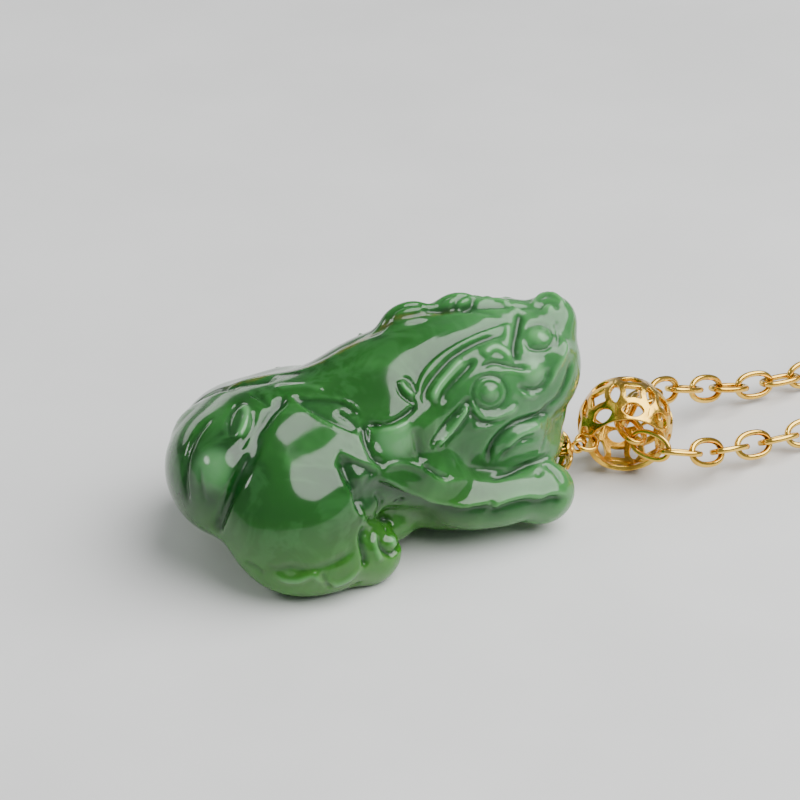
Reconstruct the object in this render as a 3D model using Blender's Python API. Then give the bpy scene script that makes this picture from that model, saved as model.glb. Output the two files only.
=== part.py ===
# Carved jade pixiu pendant on a gold cable chain, lying on its base.
# +X towards the head, +Z up, right flank towards -Y, metres.
import math

import bmesh
import bpy
import numpy as np
from mathutils import Matrix, Vector
from mathutils.geometry import delaunay_2d_cdt

MM = 0.001

# ---- driving dimensions, millimetres ----
STONE_VOXEL = 0.42            # remesh cell of the carved stone
STONE_FACES = 3600            # triangles kept on the stone
PEG_RADIUS = 0.40             # glued pin
PEG_HOLE_RADIUS = 0.47        # hole drilled for it
PEG_DEPTH = 3.0               # drilled depth
PEG_AXIS_Y, PEG_AXIS_Z = -0.60, 2.79
STONE_FRONT_X = 9.6           # floor of the hollow where the pin enters
HOLLOW_RADII = (1.9, 2.3, 2.3)
HOLLOW_CENTRE_X = 11.5
EYE_CENTRE = (11.69, -0.60, 2.79)
EYE_RADIUS, EYE_WIRE = 0.40, 0.12
CAP_RADIUS = 1.45             # petal tips from the pin axis
CAP_APEX_X = 11.07
CAP_DEPTH = 0.60
CAP_SHEET = 0.20
CAP_PETALS = 6
RING_RADIUS, RING_WIRE = 0.65, 0.14

BAIL_CENTRE = (15.34, 0.34, 3.12)
BAIL_RADIUS = 3.0             # outside of the domed band
BAIL_SHEET = 0.32
BAIL_RIM_LATITUDE = 38.6      # degrees, half width of the band
BAIL_AXIS_AZIMUTH = 22.0      # degrees, near end swings to -X from -Y
BAIL_AXIS_DIP = 17.5          # degrees, near end points down
BAIL_COINS = 8

LINK_PITCH = 2.02             # inside length of a link less play
LINK_WIRE = 0.19              # wire radius
LINK_WIDTH = 1.90             # outside width
LINK_PLAY = 0.18              # play left between two wires

CHAIN_DIAMETER = 1.90         # plain tube standing for the stored chain
COIL_MEAN_RADIUS = 10.4
COIL_CENTRE = (64.0, 3.0)
COIL_HALF_HEIGHT, COIL_HALF_WIDTH = 2.5, 3.0

CLASP_EYE = (48.5, 11.5, 1.45) # centre of the clasp's fixed eye
CLASP_WIRE = 0.62             # bar radius of the clasp body
LEVER_GAP = 0.20


def clear():
    for o in list(bpy.data.objects):
        bpy.data.objects.remove(o, do_unlink=True)


def material(name, colour, metallic, roughness):
    m = bpy.data.materials.new(name)
    m.use_nodes = True
    p = m.node_tree.nodes["Principled BSDF"]
    p.inputs["Base Color"].default_value = (*colour, 1.0)
    p.inputs["Metallic"].default_value = metallic
    p.inputs["Roughness"].default_value = roughness
    return m


clear()
JADE = material("jade", (0.045, 0.26, 0.075), 0.0, 0.12)
GOLD = material("gold", (0.83, 0.49, 0.13), 1.0, 0.18)


def add_mesh(name, mesh, mat, smooth=True):
    o = bpy.data.objects.new(name, mesh)
    bpy.context.scene.collection.objects.link(o)
    mesh.materials.clear()
    mesh.materials.append(mat)
    for p in mesh.polygons:
        p.use_smooth = smooth
    return o


def bm_object(name, bm, mat, smooth=True):
    bmesh.ops.recalc_face_normals(bm, faces=bm.faces)
    mesh = bpy.data.meshes.new(name)
    bm.to_mesh(mesh)
    bm.free()
    return add_mesh(name, mesh, mat, smooth)


def evaluated_copy(o, name, mat):
    """The object with its modifiers applied, as a new plain object."""
    dg = bpy.context.evaluated_depsgraph_get()
    mesh = bpy.data.meshes.new_from_object(o.evaluated_get(dg))
    mesh.name = name
    new = add_mesh(name, mesh, mat)
    new.matrix_world = o.matrix_world.copy()
    bpy.data.objects.remove(o, do_unlink=True)
    new.name = name
    return new


def move_origin(o, point):
    """Put the object's origin on a world point, its shape staying still."""
    p = Vector(point)
    o.data.transform(Matrix.Translation(-p))
    o.location = p


# ---- stone ----
# name, centre, radii, (rx, ry, rz) degrees, mirrored across y = 0
MASSES = [
    ("trunk", (-2.0, 0, 6.2), (9.0, 5.0, 4.9), (0, 0, 0), False),
    ("rump", (-9.0, 0, 6.45), (5.8, 5.6, 4.0), (0, -9, 0), False),
    ("tail_root", (-12.0, -1.2, 6.0), (2.9, 3.7, 3.5), (0, 0, 0), False),
    ("haunch", (-8.6, -4.8, 4.3), (4.4, 3.5, 4.3), (0, 0, 0), True),
    ("thigh_top", (-5.0, -4.4, 6.6), (2.6, 2.2, 2.2), (0, 25, 0), True),
    ("shin", (-7.4, -5.9, 2.2), (3.9, 2.5, 2.3), (0, 0, 0), True),
    ("hind_paw", (-4.7, -6.1, 1.7), (2.15, 1.7, 2.0), (0, 0, 0), True),
    ("shoulder", (-1.8, -3.6, 8.0), (2.8, 1.9, 2.4), (0, 0, 0), True),
    ("belly", (-2.6, 0, 2.3), (3.6, 5.2, 2.5), (0, 0, 0), False),
    ("front_base", (3.6, 0, 2.6), (6.3, 5.8, 2.8), (0, 0, 0), False),
    ("fore_leg_upper", (0.0, -4.8, 5.0), (3.4, 1.5, 1.6), (0, 30, 0), True),
    ("fore_leg_lower", (4.4, -5.3, 3.0), (4.2, 1.5, 1.6), (0, 3, 0), True),
    ("fore_paw", (7.4, -4.6, 2.5), (2.1, 1.8, 2.0), (0, 0, 0), True),
    ("neck", (-0.6, 0, 9.0), (5.6, 4.0, 3.7), (0, -12, 0), False),
    ("head", (4.6, 0, 8.7), (5.2, 4.8, 4.4), (0, 0, 0), False),
    ("muzzle", (8.4, 0, 9.2), (3.1, 3.9, 3.7), (0, 0, 0), False),
    ("nose", (9.9, 0, 11.7), (1.5, 1.9, 1.6), (0, 0, 0), False),
    ("chest", (7.3, 0, 4.2), (3.3, 3.6, 2.1), (0, 0, 0), False),
    ("jaw", (8.4, 0, 5.8), (2.9, 3.5, 2.3), (0, 0, 0), False),
    ("curl_rear", (1.0, 1.6, 12.3), (1.9, 1.2, 1.5), (0, -10, 0), False),
    ("curl_front", (4.0, 1.5, 12.5), (1.9, 1.2, 1.4), (0, -10, 0), False),
    ("crest", (6.2, 0.6, 12.2), (2.0, 1.6, 1.0), (0, 0, 0), False),
]


def euler(rx, ry, rz):
    return (
        Matrix.Rotation(math.radians(rz), 4, "Z")
        @ Matrix.Rotation(math.radians(ry), 4, "Y")
        @ Matrix.Rotation(math.radians(rx), 4, "X")
    )


def stone():
    bm = bmesh.new()
    flip = Matrix.Diagonal((1, -1, 1, 1))
    for _, c, r, e, mirrored in MASSES:
        m = (
            Matrix.Translation(Vector(c) * MM)
            @ euler(*e)
            @ Matrix.Diagonal((r[0] * MM, r[1] * MM, r[2] * MM, 1))
        )
        for k in (m, flip @ m) if mirrored else (m,):
            new = bmesh.ops.create_uvsphere(bm, u_segments=28, v_segments=18, radius=1.0, matrix=k)
            if k is not m:
                faces = {f for v in new["verts"] for f in v.link_faces}
                bmesh.ops.reverse_faces(bm, faces=list(faces))
    mesh = bpy.data.meshes.new("stone_masses")
    bm.to_mesh(mesh)
    bm.free()
    o = add_mesh("stone_masses", mesh, JADE)
    r = o.modifiers.new("remesh", "REMESH")
    r.mode = "VOXEL"
    r.voxel_size = STONE_VOXEL * MM
    r.use_smooth_shade = True
    s = o.modifiers.new("smooth", "SMOOTH")
    s.factor = 0.5
    s.iterations = 3
    d = o.modifiers.new("decimate", "DECIMATE")
    d.ratio = 1.0
    o = evaluated_copy_ratio(o, d)
    bm = bmesh.new()
    bm.from_mesh(o.data)
    # flat base at z = 0
    cut = bmesh.ops.bisect_plane(
        bm,
        geom=bm.verts[:] + bm.edges[:] + bm.faces[:],
        plane_co=(0, 0, 0.12 * MM),
        plane_no=(0, 0, -1),
        clear_outer=True,
    )
    rim = [e for e in cut["geom_cut"] if isinstance(e, bmesh.types.BMEdge)]
    bmesh.ops.holes_fill(bm, edges=rim, sides=0)
    bmesh.ops.translate(bm, verts=bm.verts, vec=(0, 0, -0.12 * MM))
    bmesh.ops.recalc_face_normals(bm, faces=bm.faces)
    bm.to_mesh(o.data)
    bm.free()
    for p in o.data.polygons:
        p.use_smooth = True
    # hollow under the chin that takes the cap, then the hole for the pin
    bpy.ops.mesh.primitive_uv_sphere_add(
        segments=28,
        ring_count=18,
        radius=1.0,
        location=(HOLLOW_CENTRE_X * MM, PEG_AXIS_Y * MM, PEG_AXIS_Z * MM),
        rotation=(0, math.radians(90), 0),
    )
    hollow = bpy.context.object
    hollow.scale = (HOLLOW_RADII[2] * MM, HOLLOW_RADII[1] * MM, HOLLOW_RADII[0] * MM)
    h = o.modifiers.new("hollow", "BOOLEAN")
    h.operation = "DIFFERENCE"
    h.solver = "EXACT"
    h.object = hollow
    bpy.ops.mesh.primitive_cylinder_add(
        vertices=20,
        radius=PEG_HOLE_RADIUS * MM,
        depth=(PEG_DEPTH + 4.0) * MM,
        location=(
            (STONE_FRONT_X + (4.0 - PEG_DEPTH) / 2) * MM,
            PEG_AXIS_Y * MM,
            PEG_AXIS_Z * MM,
        ),
        rotation=(0, math.radians(90), 0),
    )
    cutter = bpy.context.object
    cutter.name = "peg_cutter"
    b = o.modifiers.new("peg_hole", "BOOLEAN")
    b.operation = "DIFFERENCE"
    b.solver = "EXACT"
    b.object = cutter
    o = evaluated_copy(o, "jade_body", JADE)
    bpy.data.objects.remove(cutter, do_unlink=True)
    bpy.data.objects.remove(hollow, do_unlink=True)
    return o


def evaluated_copy_ratio(o, d):
    dg = bpy.context.evaluated_depsgraph_get()
    count = sum(len(p.vertices) - 2 for p in o.evaluated_get(dg).to_mesh().polygons)
    o.evaluated_get(dg).to_mesh_clear()
    d.ratio = min(1.0, STONE_FACES / count)
    return evaluated_copy(o, "stone_body", JADE)


jade_body = stone()


# ---- wire loops ----
def sweep(bm, points, normals, radius, sections, closed):
    """A round tube along points; normals are unit vectors across the path."""
    n = len(points)
    rings = []
    for i in range(n):
        if closed:
            t = points[(i + 1) % n] - points[i - 1]
        else:
            t = points[min(i + 1, n - 1)] - points[max(i - 1, 0)]
        t = t / np.linalg.norm(t)
        a = normals[i] - t * (normals[i] @ t)
        a = a / np.linalg.norm(a)
        b = np.cross(t, a)
        rings.append(
            [
                bm.verts.new(
                    tuple(
                        points[i]
                        + radius * (math.cos(w) * a + math.sin(w) * b)
                    )
                )
                for w in [2 * math.pi * k / sections for k in range(sections)]
            ]
        )
    for i in range(n if closed else n - 1):
        r, s = rings[i], rings[(i + 1) % n]
        for k in range(sections):
            bm.faces.new((r[k], r[(k + 1) % sections], s[(k + 1) % sections], s[k]))
    if not closed:
        bm.faces.new(rings[0][::-1])
        bm.faces.new(rings[-1])


def unit(v):
    v = np.array(v, float)
    return v / np.linalg.norm(v)


# ---- pin with an eye, glued in the stone ----
def peg():
    bm = bmesh.new()
    eye = np.array(EYE_CENTRE)
    neck_x = EYE_CENTRE[0] - EYE_RADIUS
    # eye in the vertical plane through the pin, then the shaft joined to it
    loop = [
        eye + EYE_RADIUS * np.array([math.cos(w), 0, math.sin(w)])
        for w in [2 * math.pi * k / 24 for k in range(24)]
    ]
    sweep(bm, [p * MM for p in loop], [np.array([0, 1.0, 0])] * 24, EYE_WIRE * MM, 10, True)
    o = bm_object("eye_loop", bm, GOLD)
    bpy.ops.mesh.primitive_cylinder_add(
        vertices=20,
        radius=PEG_RADIUS * MM,
        depth=(neck_x - 0.02 - (STONE_FRONT_X - PEG_DEPTH + 0.12)) * MM,
        location=(
            (neck_x - 0.02 + STONE_FRONT_X - PEG_DEPTH + 0.12) / 2 * MM,
            PEG_AXIS_Y * MM,
            PEG_AXIS_Z * MM,
        ),
        rotation=(0, math.radians(90), 0),
    )
    shaft = bpy.context.object
    m = o.modifiers.new("shaft", "BOOLEAN")
    m.operation = "UNION"
    m.solver = "EXACT"
    m.object = shaft
    o = evaluated_copy(o, "bail_peg", GOLD)
    bpy.data.objects.remove(shaft, do_unlink=True)
    return o


bail_peg = peg()


# ---- openwork sheets: one repeated cell, pierced, laid on a curved surface ----
def inside(poly, x, y):
    hit = False
    for i in range(len(poly)):
        (x0, y0), (x1, y1) = poly[i - 1], poly[i]
        if (y0 > y) != (y1 > y) and x < (x1 - x0) * (y - y0) / (y1 - y0) + x0:
            hit = not hit
    return hit


def pierced(outline, holes, extra=()):
    """Triangles of a flat outline less its holes."""
    verts, edges = [], []
    for loop in (outline, *holes):
        s = len(verts)
        verts += [Vector(p) for p in loop]
        edges += [(s + i, s + (i + 1) % len(loop)) for i in range(len(loop))]
    verts += [Vector(p) for p in extra]
    out = delaunay_2d_cdt(verts, edges, [], 0, 1e-7)
    co, faces = out[0], out[2]
    keep = []
    for f in faces:
        x = sum(co[i][0] for i in f) / len(f)
        y = sum(co[i][1] for i in f) / len(f)
        if inside(outline, x, y) and not any(inside(h, x, y) for h in holes):
            keep.append(tuple(f))
    return [(p[0], p[1]) for p in co], keep


def sheet(name, cells, place, thickness, mat, border):
    """Cells laid by place(u, v, depth); welded, then given their thickness."""
    bm = bmesh.new()
    for k, (co, faces) in enumerate(cells):
        used = sorted({i for f in faces for i in f})
        outer = {i: bm.verts.new(place(k, co[i], 0.0)) for i in used}
        inner = {i: bm.verts.new(place(k, co[i], thickness)) for i in used}
        count = {}
        for f in faces:
            bm.faces.new([outer[i] for i in f])
            bm.faces.new([inner[i] for i in reversed(f)])
            for a, b in zip(f, f[1:] + f[:1]):
                count[(a, b)] = count.get((a, b), 0) + 1
        for (a, b) in count:
            joined = abs(abs(co[a][0]) - border) < 1e-6 and abs(abs(co[b][0]) - border) < 1e-6
            if (b, a) not in count and not joined:
                bm.faces.new((outer[b], outer[a], inner[a], inner[b]))
    bmesh.ops.remove_doubles(bm, verts=bm.verts, dist=1e-6)
    bmesh.ops.triangulate(bm, faces=bm.faces)
    return bm_object(name, bm, mat)


def lens(cx, cy, half_length, half_width, along_x, n=5):
    """Pointed ellipse made of two arcs."""
    a, b = half_length, half_width
    rad = (a * a + b * b) / (2 * b)
    pts = []
    for side in (1, -1):
        for i in range(n):
            t = -1 + 2 * i / n
            x = t * a * side
            y = side * (math.sqrt(rad * rad - x * x) - (rad - b))
            pts.append((x, y))
    return [(cx + x, cy + y) if along_x else (cx + y, cy + x) for x, y in pts]


def coin_square(cx, cy, half, dish, n=3):
    """Square hole with sides bowed inwards."""
    corners = [(-half, -half), (half, -half), (half, half), (-half, half)]
    pts = []
    for i in range(4):
        (x0, y0), (x1, y1) = corners[i], corners[(i + 1) % 4]
        for k in range(n):
            t = k / n
            bow = dish * math.sin(math.pi * t)
            x, y = x0 + (x1 - x0) * t, y0 + (y1 - y0) * t
            m = math.hypot((x0 + x1) / 2, (y0 + y1) / 2)
            x -= bow * (x0 + x1) / 2 / m
            y -= bow * (y0 + y1) / 2 / m
            pts.append((cx + x, cy + y))
    return pts


# ---- bail: domed band of pierced coins ----
AX = math.radians(BAIL_AXIS_AZIMUTH)
DIP = math.radians(BAIL_AXIS_DIP)
BAIL_AXIS = np.array([-math.sin(AX) * math.cos(DIP), -math.cos(AX) * math.cos(DIP), -math.sin(DIP)])
BAIL_E = unit(np.array([-1.0, 0, 0]) - BAIL_AXIS * (np.array([-1.0, 0, 0]) @ BAIL_AXIS))
BAIL_T = np.cross(BAIL_AXIS, BAIL_E)


def bail():
    half = math.pi / BAIL_COINS            # half a coin, radians
    rim = math.radians(BAIL_RIM_LATITUDE)
    # flat coordinates: u = angle x radius, v = latitude x radius
    U, V = half * BAIL_RADIUS, rim * BAIL_RADIUS
    lens_v = 0.50                          # side lens half length
    side = lens(0, 0, lens_v + 0.08, 0.22, False, 5)
    right = sorted([p for p in side if p[0] < -1e-9], key=lambda p: p[1])
    left = sorted([p for p in side if p[0] > 1e-9], key=lambda p: p[1])
    outline = [(-U, -V)] + [(-U + 2 * U * i / 5, -V) for i in range(1, 5)] + [(U, -V)]
    outline += [(U, -lens_v - 0.08)] + [(U + x, y) for x, y in right] + [(U, lens_v + 0.08)]
    outline += [(U, V)] + [(U - 2 * U * i / 5, V) for i in range(1, 5)] + [(-U, V)]
    outline += [(-U, lens_v + 0.08)] + [(-U + x, y) for x, y in reversed(left)] + [(-U, -lens_v - 0.08)]
    gap = V - 0.20
    holes = [
        coin_square(0, 0, 0.46, 0.07),
        lens(0, gap - 0.38, 0.72, 0.36, True),
        lens(0, -gap + 0.38, 0.72, 0.36, True),
    ]
    cell = pierced(outline, holes, [])
    c = np.array(BAIL_CENTRE)

    def place(k, p, depth):
        a = p[0] / BAIL_RADIUS + 2 * half * k
        lat = p[1] / BAIL_RADIUS
        r = BAIL_RADIUS - depth
        q = c + r * (
            math.cos(lat) * (math.cos(a) * BAIL_E + math.sin(a) * BAIL_T)
            + math.sin(lat) * BAIL_AXIS
        )
        return tuple(q * MM)

    return sheet("bail", [cell] * BAIL_COINS, place, BAIL_SHEET, GOLD, U)


bail_body = bail()


# ---- petal cap between the stone and the eye ----
def cap():
    half = math.pi / CAP_PETALS
    hole = PEG_RADIUS + 0.06
    cells = []
    tip, notch = CAP_RADIUS, CAP_RADIUS * 0.72

    def edge(w):
        """Radius of the petal edge at angle w from its mid line."""
        t = abs(w) / half
        return tip - (tip - notch) * t ** 1.6

    n = 4
    outline = [(-half + 2 * half * i / n, hole) for i in range(n + 1)]
    outline += [(half - 2 * half * i / 8, edge(half - 2 * half * i / 8)) for i in range(9)]
    window = [
        (0.0, 0.72),
        (0.20, 0.90),
        (0.13, 1.06),
        (0.0, 1.20),
        (-0.13, 1.06),
        (-0.20, 0.90),
    ]
    cells = [pierced(outline, [window], [])] * CAP_PETALS

    def place(k, p, depth):
        a = p[0] + 2 * half * k
        r = p[1]
        # dome: drops back from the apex towards the petal tips
        s = (r - hole) / (CAP_RADIUS - hole)
        x = CAP_APEX_X - CAP_DEPTH * s * s - depth
        rr = r - 0.0 * depth
        return (
            x * MM,
            (PEG_AXIS_Y + rr * math.sin(a)) * MM,
            (PEG_AXIS_Z + rr * math.cos(a)) * MM,
        )

    return sheet("petal_cap", cells, place, CAP_SHEET, GOLD, half)


petal_cap = cap()

# ---- jump ring through the eye and the rim bar of the bail ----
BAR_LATITUDE = math.radians(BAIL_RIM_LATITUDE - 1.9)
BAR_OUT = math.cos(BAR_LATITUDE) * BAIL_E + math.sin(BAR_LATITUDE) * BAIL_AXIS
BAR = np.array(BAIL_CENTRE) + (BAIL_RADIUS - BAIL_SHEET / 2) * BAR_OUT
RING_DIR = unit(BAR - np.array(EYE_CENTRE))
RING_NORMAL = unit(BAIL_T - RING_DIR * (BAIL_T @ RING_DIR))
RING_CENTRE = np.array(EYE_CENTRE) + RING_RADIUS * RING_DIR


def ring(name, centre, normal, radius, wire, steps=24, sections=8):
    n = unit(normal)
    a = unit(np.cross(n, [0.3, 0.2, 1.0]))
    b = np.cross(n, a)
    pts = [
        centre + radius * (math.cos(w) * a + math.sin(w) * b)
        for w in [2 * math.pi * k / steps for k in range(steps)]
    ]
    bm = bmesh.new()
    sweep(bm, [p * MM for p in pts], [n] * steps, wire * MM, sections, True)
    return bm_object(name, bm, GOLD)


jump_ring = ring("jump_ring", RING_CENTRE, RING_NORMAL, RING_RADIUS, RING_WIRE)

# ---- cable chain ----
# the line the chain follows, from the front strand through the bail to the back strand
PATH_BACK = np.array(
    [
        (16.4, -3.1, 2.7),
        (15.2, -1.3, 2.95),
        (15.15, 0.15, 3.25),
        (16.7, 1.85, 3.6),
        (18.6, 2.9, 3.45),
        (20.6, 3.7, 2.85),
        (22.5, 4.25, 2.2),
        (24.3, 4.7, 1.65),
        (26.3, 4.95, 1.25),
        (28.3, 5.1, 1.1),
        (31.0, 5.25, 1.1),
        (34.0, 5.5, 1.1),
        (38.0, 6.0, 1.1),
    ]
)
PATH_FRONT = np.array(
    [
        (16.4, -3.1, 2.7),
        (18.4, -3.5, 2.35),
        (20.4, -2.95, 1.8),
        (22.4, -2.4, 1.4),
        (24.3, -2.05, 1.2),
        (26.3, -1.8, 1.1),
        (29.0, -1.6, 1.1),
        (32.0, -1.6, 1.1),
        (38.0, -1.7, 1.1),
    ]
)


def spline(points, per=40):
    out = []
    for i in range(len(points) - 1):
        p0 = points[max(i - 1, 0)]
        p1, p2 = points[i], points[i + 1]
        p3 = points[min(i + 2, len(points) - 1)]
        for k in range(per):
            t = k / per
            out.append(
                0.5
                * (
                    2 * p1
                    + (p2 - p0) * t
                    + (2 * p0 - 5 * p1 + 4 * p2 - p3) * t * t
                    + (3 * p1 - p0 - 3 * p2 + p3) * t ** 3
                )
            )
    out.append(points[-1])
    return np.array(out)


def walk(line, start, step, count):
    """Points along the line, each the same straight distance from the last."""
    pts, i = [line[start]], start
    for _ in range(count):
        while i + 1 < len(line) and np.linalg.norm(line[i + 1] - pts[-1]) < step:
            i += 1
        a, b = line[i], line[min(i + 1, len(line) - 1)]
        lo, hi = 0.0, 1.0
        for _ in range(40):
            m = (lo + hi) / 2
            if np.linalg.norm(a + (b - a) * m - pts[-1]) < step:
                lo = m
            else:
                hi = m
        pts.append(a + (b - a) * lo)
    return pts


FRONT_COUNT, INNER_COUNT, BACK_COUNT = 9, 3, 9
TOTAL = FRONT_COUNT + INNER_COUNT + BACK_COUNT
FRONT_JOINTS = walk(spline(PATH_FRONT), 0, LINK_PITCH, FRONT_COUNT)
BACK_JOINTS = walk(spline(PATH_BACK), 0, LINK_PITCH, INNER_COUNT + BACK_COUNT)
JOINTS = FRONT_JOINTS[::-1] + BACK_JOINTS[1:]


def level(d, roll):
    """Direction across a link that lies along d, rolled from the level."""
    up = unit(np.array([0, 0, 1.0]) - d * d[2])
    side = np.cross(d, up)
    w = math.radians(roll)
    return math.cos(w) * side + math.sin(w) * up


def turned(v, d0, d1):
    """v carried from direction d0 to d1 by the shortest turn."""
    axis = np.cross(d0, d1)
    s, c = np.linalg.norm(axis), d0 @ d1
    if s < 1e-9:
        return v
    k = axis / s
    return v * c + np.cross(k, v) * s + k * (k @ v) * (1 - c)


def crossings():
    """Across direction of every link, each square to its neighbours."""
    d = [unit(JOINTS[i + 1] - JOINTS[i]) for i in range(TOTAL)]
    first, last = FRONT_COUNT - 2, FRONT_COUNT + INNER_COUNT + 1
    out = [None] * TOTAL
    for i in range(TOTAL):
        if i <= first:
            out[i] = level(d[i], 60 - 90 * ((first - i) % 2))
        elif i >= last:
            out[i] = level(d[i], 105 - 90 * ((i - last) % 2))
    v = out[first]
    carried = {}
    for i in range(first + 1, last + 1):
        v = turned(v, d[i - 1], d[i])
        v = unit(np.cross(d[i], v))
        carried[i] = v
    want = out[last]
    twist = math.atan2(np.cross(carried[last], want) @ d[last], carried[last] @ want)
    twist = (twist + math.pi / 2) % math.pi - math.pi / 2
    for i in range(first + 1, last):
        w = twist * (i - first) / (last - first)
        out[i] = carried[i] * math.cos(w) + np.cross(d[i], carried[i]) * math.sin(w)
    return out


ACROSS = crossings()


def link(name, a, b, across):
    """One oval link between two joint points."""
    d = unit(b - a)
    across = unit(across - d * (across @ d))
    normal = np.cross(d, across)
    half_long = LINK_PITCH / 2 + LINK_WIRE + LINK_PLAY / 2
    half_wide = LINK_WIDTH / 2 - LINK_WIRE
    c = (a + b) / 2
    steps = 18
    pts = []
    for k in range(steps):
        t = 2 * math.pi * (k + 0.5) / steps
        x, y = math.cos(t), math.sin(t)
        # fuller than an ellipse: the ends of a drawn cable link are round
        s = (abs(x) ** 2.3 + abs(y) ** 2.3) ** (-1 / 2.3)
        pts.append(c + half_long * s * x * d + half_wide * s * y * across)
    bm = bmesh.new()
    sweep(bm, [p * MM for p in pts], [normal] * steps, LINK_WIRE * MM, 6, True)
    return bm_object(name, bm, GOLD)


links = []
for i in range(TOTAL):
    if i < FRONT_COUNT:
        name = "chain_front_%02d" % (FRONT_COUNT - i)
    elif i < FRONT_COUNT + INNER_COUNT:
        name = "chain_inner_%02d" % (i - FRONT_COUNT + 1)
    else:
        name = "chain_back_%02d" % (i - FRONT_COUNT - INNER_COUNT + 1)
    links.append(link(name, JOINTS[i], JOINTS[i + 1], ACROSS[i]))


# ---- far end of the back strand: closed ring ----
END_RING_RADIUS, END_RING_WIRE = 1.7, 0.26
d_end = unit(BACK_JOINTS[-1] - BACK_JOINTS[-2])
END_RING_RISE = math.radians(31)   # the ring stands up from the link it hangs in
end_centre = (
    BACK_JOINTS[-1]
    - d_end * 0.42
    + END_RING_RADIUS * (math.cos(END_RING_RISE) * d_end + math.sin(END_RING_RISE) * np.array([0, 0, 1.0]))
)
end_ring = ring("end_ring", end_centre, unit(np.cross(d_end, [0, 0, 1.0])), END_RING_RADIUS, END_RING_WIRE)


# ---- lobster clasp, lying flat and unhooked ----
def remeshed(name, bm, voxel, faces):
    mesh = bpy.data.meshes.new(name + "_raw")
    bm.to_mesh(mesh)
    bm.free()
    o = add_mesh(name + "_raw", mesh, GOLD)
    r = o.modifiers.new("remesh", "REMESH")
    r.mode = "VOXEL"
    r.voxel_size = voxel * MM
    k = o.modifiers.new("smooth", "SMOOTH")
    k.factor = 0.5
    k.iterations = 2
    d = o.modifiers.new("decimate", "DECIMATE")
    dg = bpy.context.evaluated_depsgraph_get()
    count = sum(len(p.vertices) - 2 for p in o.evaluated_get(dg).to_mesh().polygons)
    o.evaluated_get(dg).to_mesh_clear()
    d.ratio = min(1.0, faces / count)
    return evaluated_copy(o, name, GOLD)


def disc(name, centre, radius, depth, steps=20):
    bpy.ops.mesh.primitive_cylinder_add(
        vertices=steps, radius=radius * MM, depth=depth * MM, location=tuple(c * MM for c in centre)
    )
    o = bpy.context.object
    o.name = name
    o.data.materials.clear()
    o.data.materials.append(GOLD)
    return o


def cut(o, tools, name):
    for k, t in enumerate(tools):
        m = o.modifiers.new("cut_%d" % k, "BOOLEAN")
        m.operation = "DIFFERENCE"
        m.solver = "EXACT"
        m.object = t
    o = evaluated_copy(o, name, GOLD)
    for t in tools:
        bpy.data.objects.remove(t, do_unlink=True)
    return o


def world(points):
    return [np.array(CLASP_EYE) + np.array([x, y, 0.0]) for x, y in points]


def smooth_line(points, per=6):
    return list(spline(np.array(points, float), per))


PIVOT = np.array(CLASP_EYE) + np.array([-1.75, -0.95, 0.0])


def clasp_body():
    bm = bmesh.new()
    bar = smooth_line(
        world([(-0.9, 0.1), (-2.2, 1.25), (-4.0, 1.75), (-5.8, 1.35), (-6.7, 0.1), (-6.35, -0.95)])
    )
    sweep(bm, [p * MM for p in bar], [np.array([0, 0, 1.0])] * len(bar), CLASP_WIRE * MM, 12, False)
    eye = [
        np.array(CLASP_EYE) + 0.78 * np.array([math.cos(w), math.sin(w), 0])
        for w in [2 * math.pi * k / 24 for k in range(24)]
    ]
    sweep(bm, [p * MM for p in eye], [np.array([0, 0, 1.0])] * 24, 0.34 * MM, 10, True)
    web = smooth_line(world([(-0.85, 0.2), (-1.3, -0.4), (-1.75, -0.95)]))
    sweep(bm, [p * MM for p in web], [np.array([0, 0, 1.0])] * len(web), 0.78 * MM, 12, False)
    o = remeshed("clasp_body", bm, 0.13, 900)
    slot = disc("slot", PIVOT, 0.98, 0.86, 24)
    hole = disc("hole", PIVOT, 0.30, 3.0, 16)
    return cut(o, [slot, hole], "clasp_body")


def clasp_lever():
    bm = bmesh.new()
    bar = [
        PIVOT + np.array([x, y, 0.0])
        for x, y in [(0.0, 0.0), (-0.9, -0.42), (-2.0, -0.62), (-3.1, -0.5), (-4.02, -0.12)]
    ]
    bar = smooth_line(bar)
    sweep(bm, [p * MM for p in bar], [np.array([0, 0, 1.0])] * len(bar), 0.34 * MM, 12, False)
    tab = smooth_line([PIVOT + np.array([x, y, 0.0]) for x, y in [(-1.2, -0.5), (-1.0, -1.0), (-0.75, -1.45)]])
    sweep(bm, [p * MM for p in tab], [np.array([0, 0, 1.0])] * len(tab), 0.30 * MM, 10, False)
    boss = [PIVOT + np.array([0, 0, z]) for z in (-0.33, 0.33)]
    sweep(bm, [p * MM for p in boss], [np.array([1.0, 0, 0])] * 2, 0.66 * MM, 20, False)
    o = remeshed("clasp_lever", bm, 0.11, 600)
    o = cut(o, [disc("hole", PIVOT, 0.32, 3.0, 16)], "clasp_lever")
    move_origin(o, PIVOT * MM)
    return o


body = clasp_body()
lever = clasp_lever()
pin = disc("clasp_pin", PIVOT, 0.25, 1.5, 16)
for p in pin.data.polygons:
    p.use_smooth = len(p.vertices) == 4


# ---- stored chain: plain tubes and one coil ----
def tube(name, points):
    curve = bpy.data.curves.new(name, "CURVE")
    curve.dimensions = "3D"
    curve.bevel_depth = CHAIN_DIAMETER / 2 * MM
    curve.bevel_resolution = 2
    curve.use_fill_caps = True
    curve.resolution_u = 1
    sp = curve.splines.new("POLY")
    sp.points.add(len(points) - 1)
    for k, p in enumerate(points):
        sp.points[k].co = (*(p * MM), 1.0)
    sp.use_smooth = True
    o = bpy.data.objects.new(name, curve)
    bpy.context.scene.collection.objects.link(o)
    curve.materials.append(GOLD)
    return o


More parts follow.
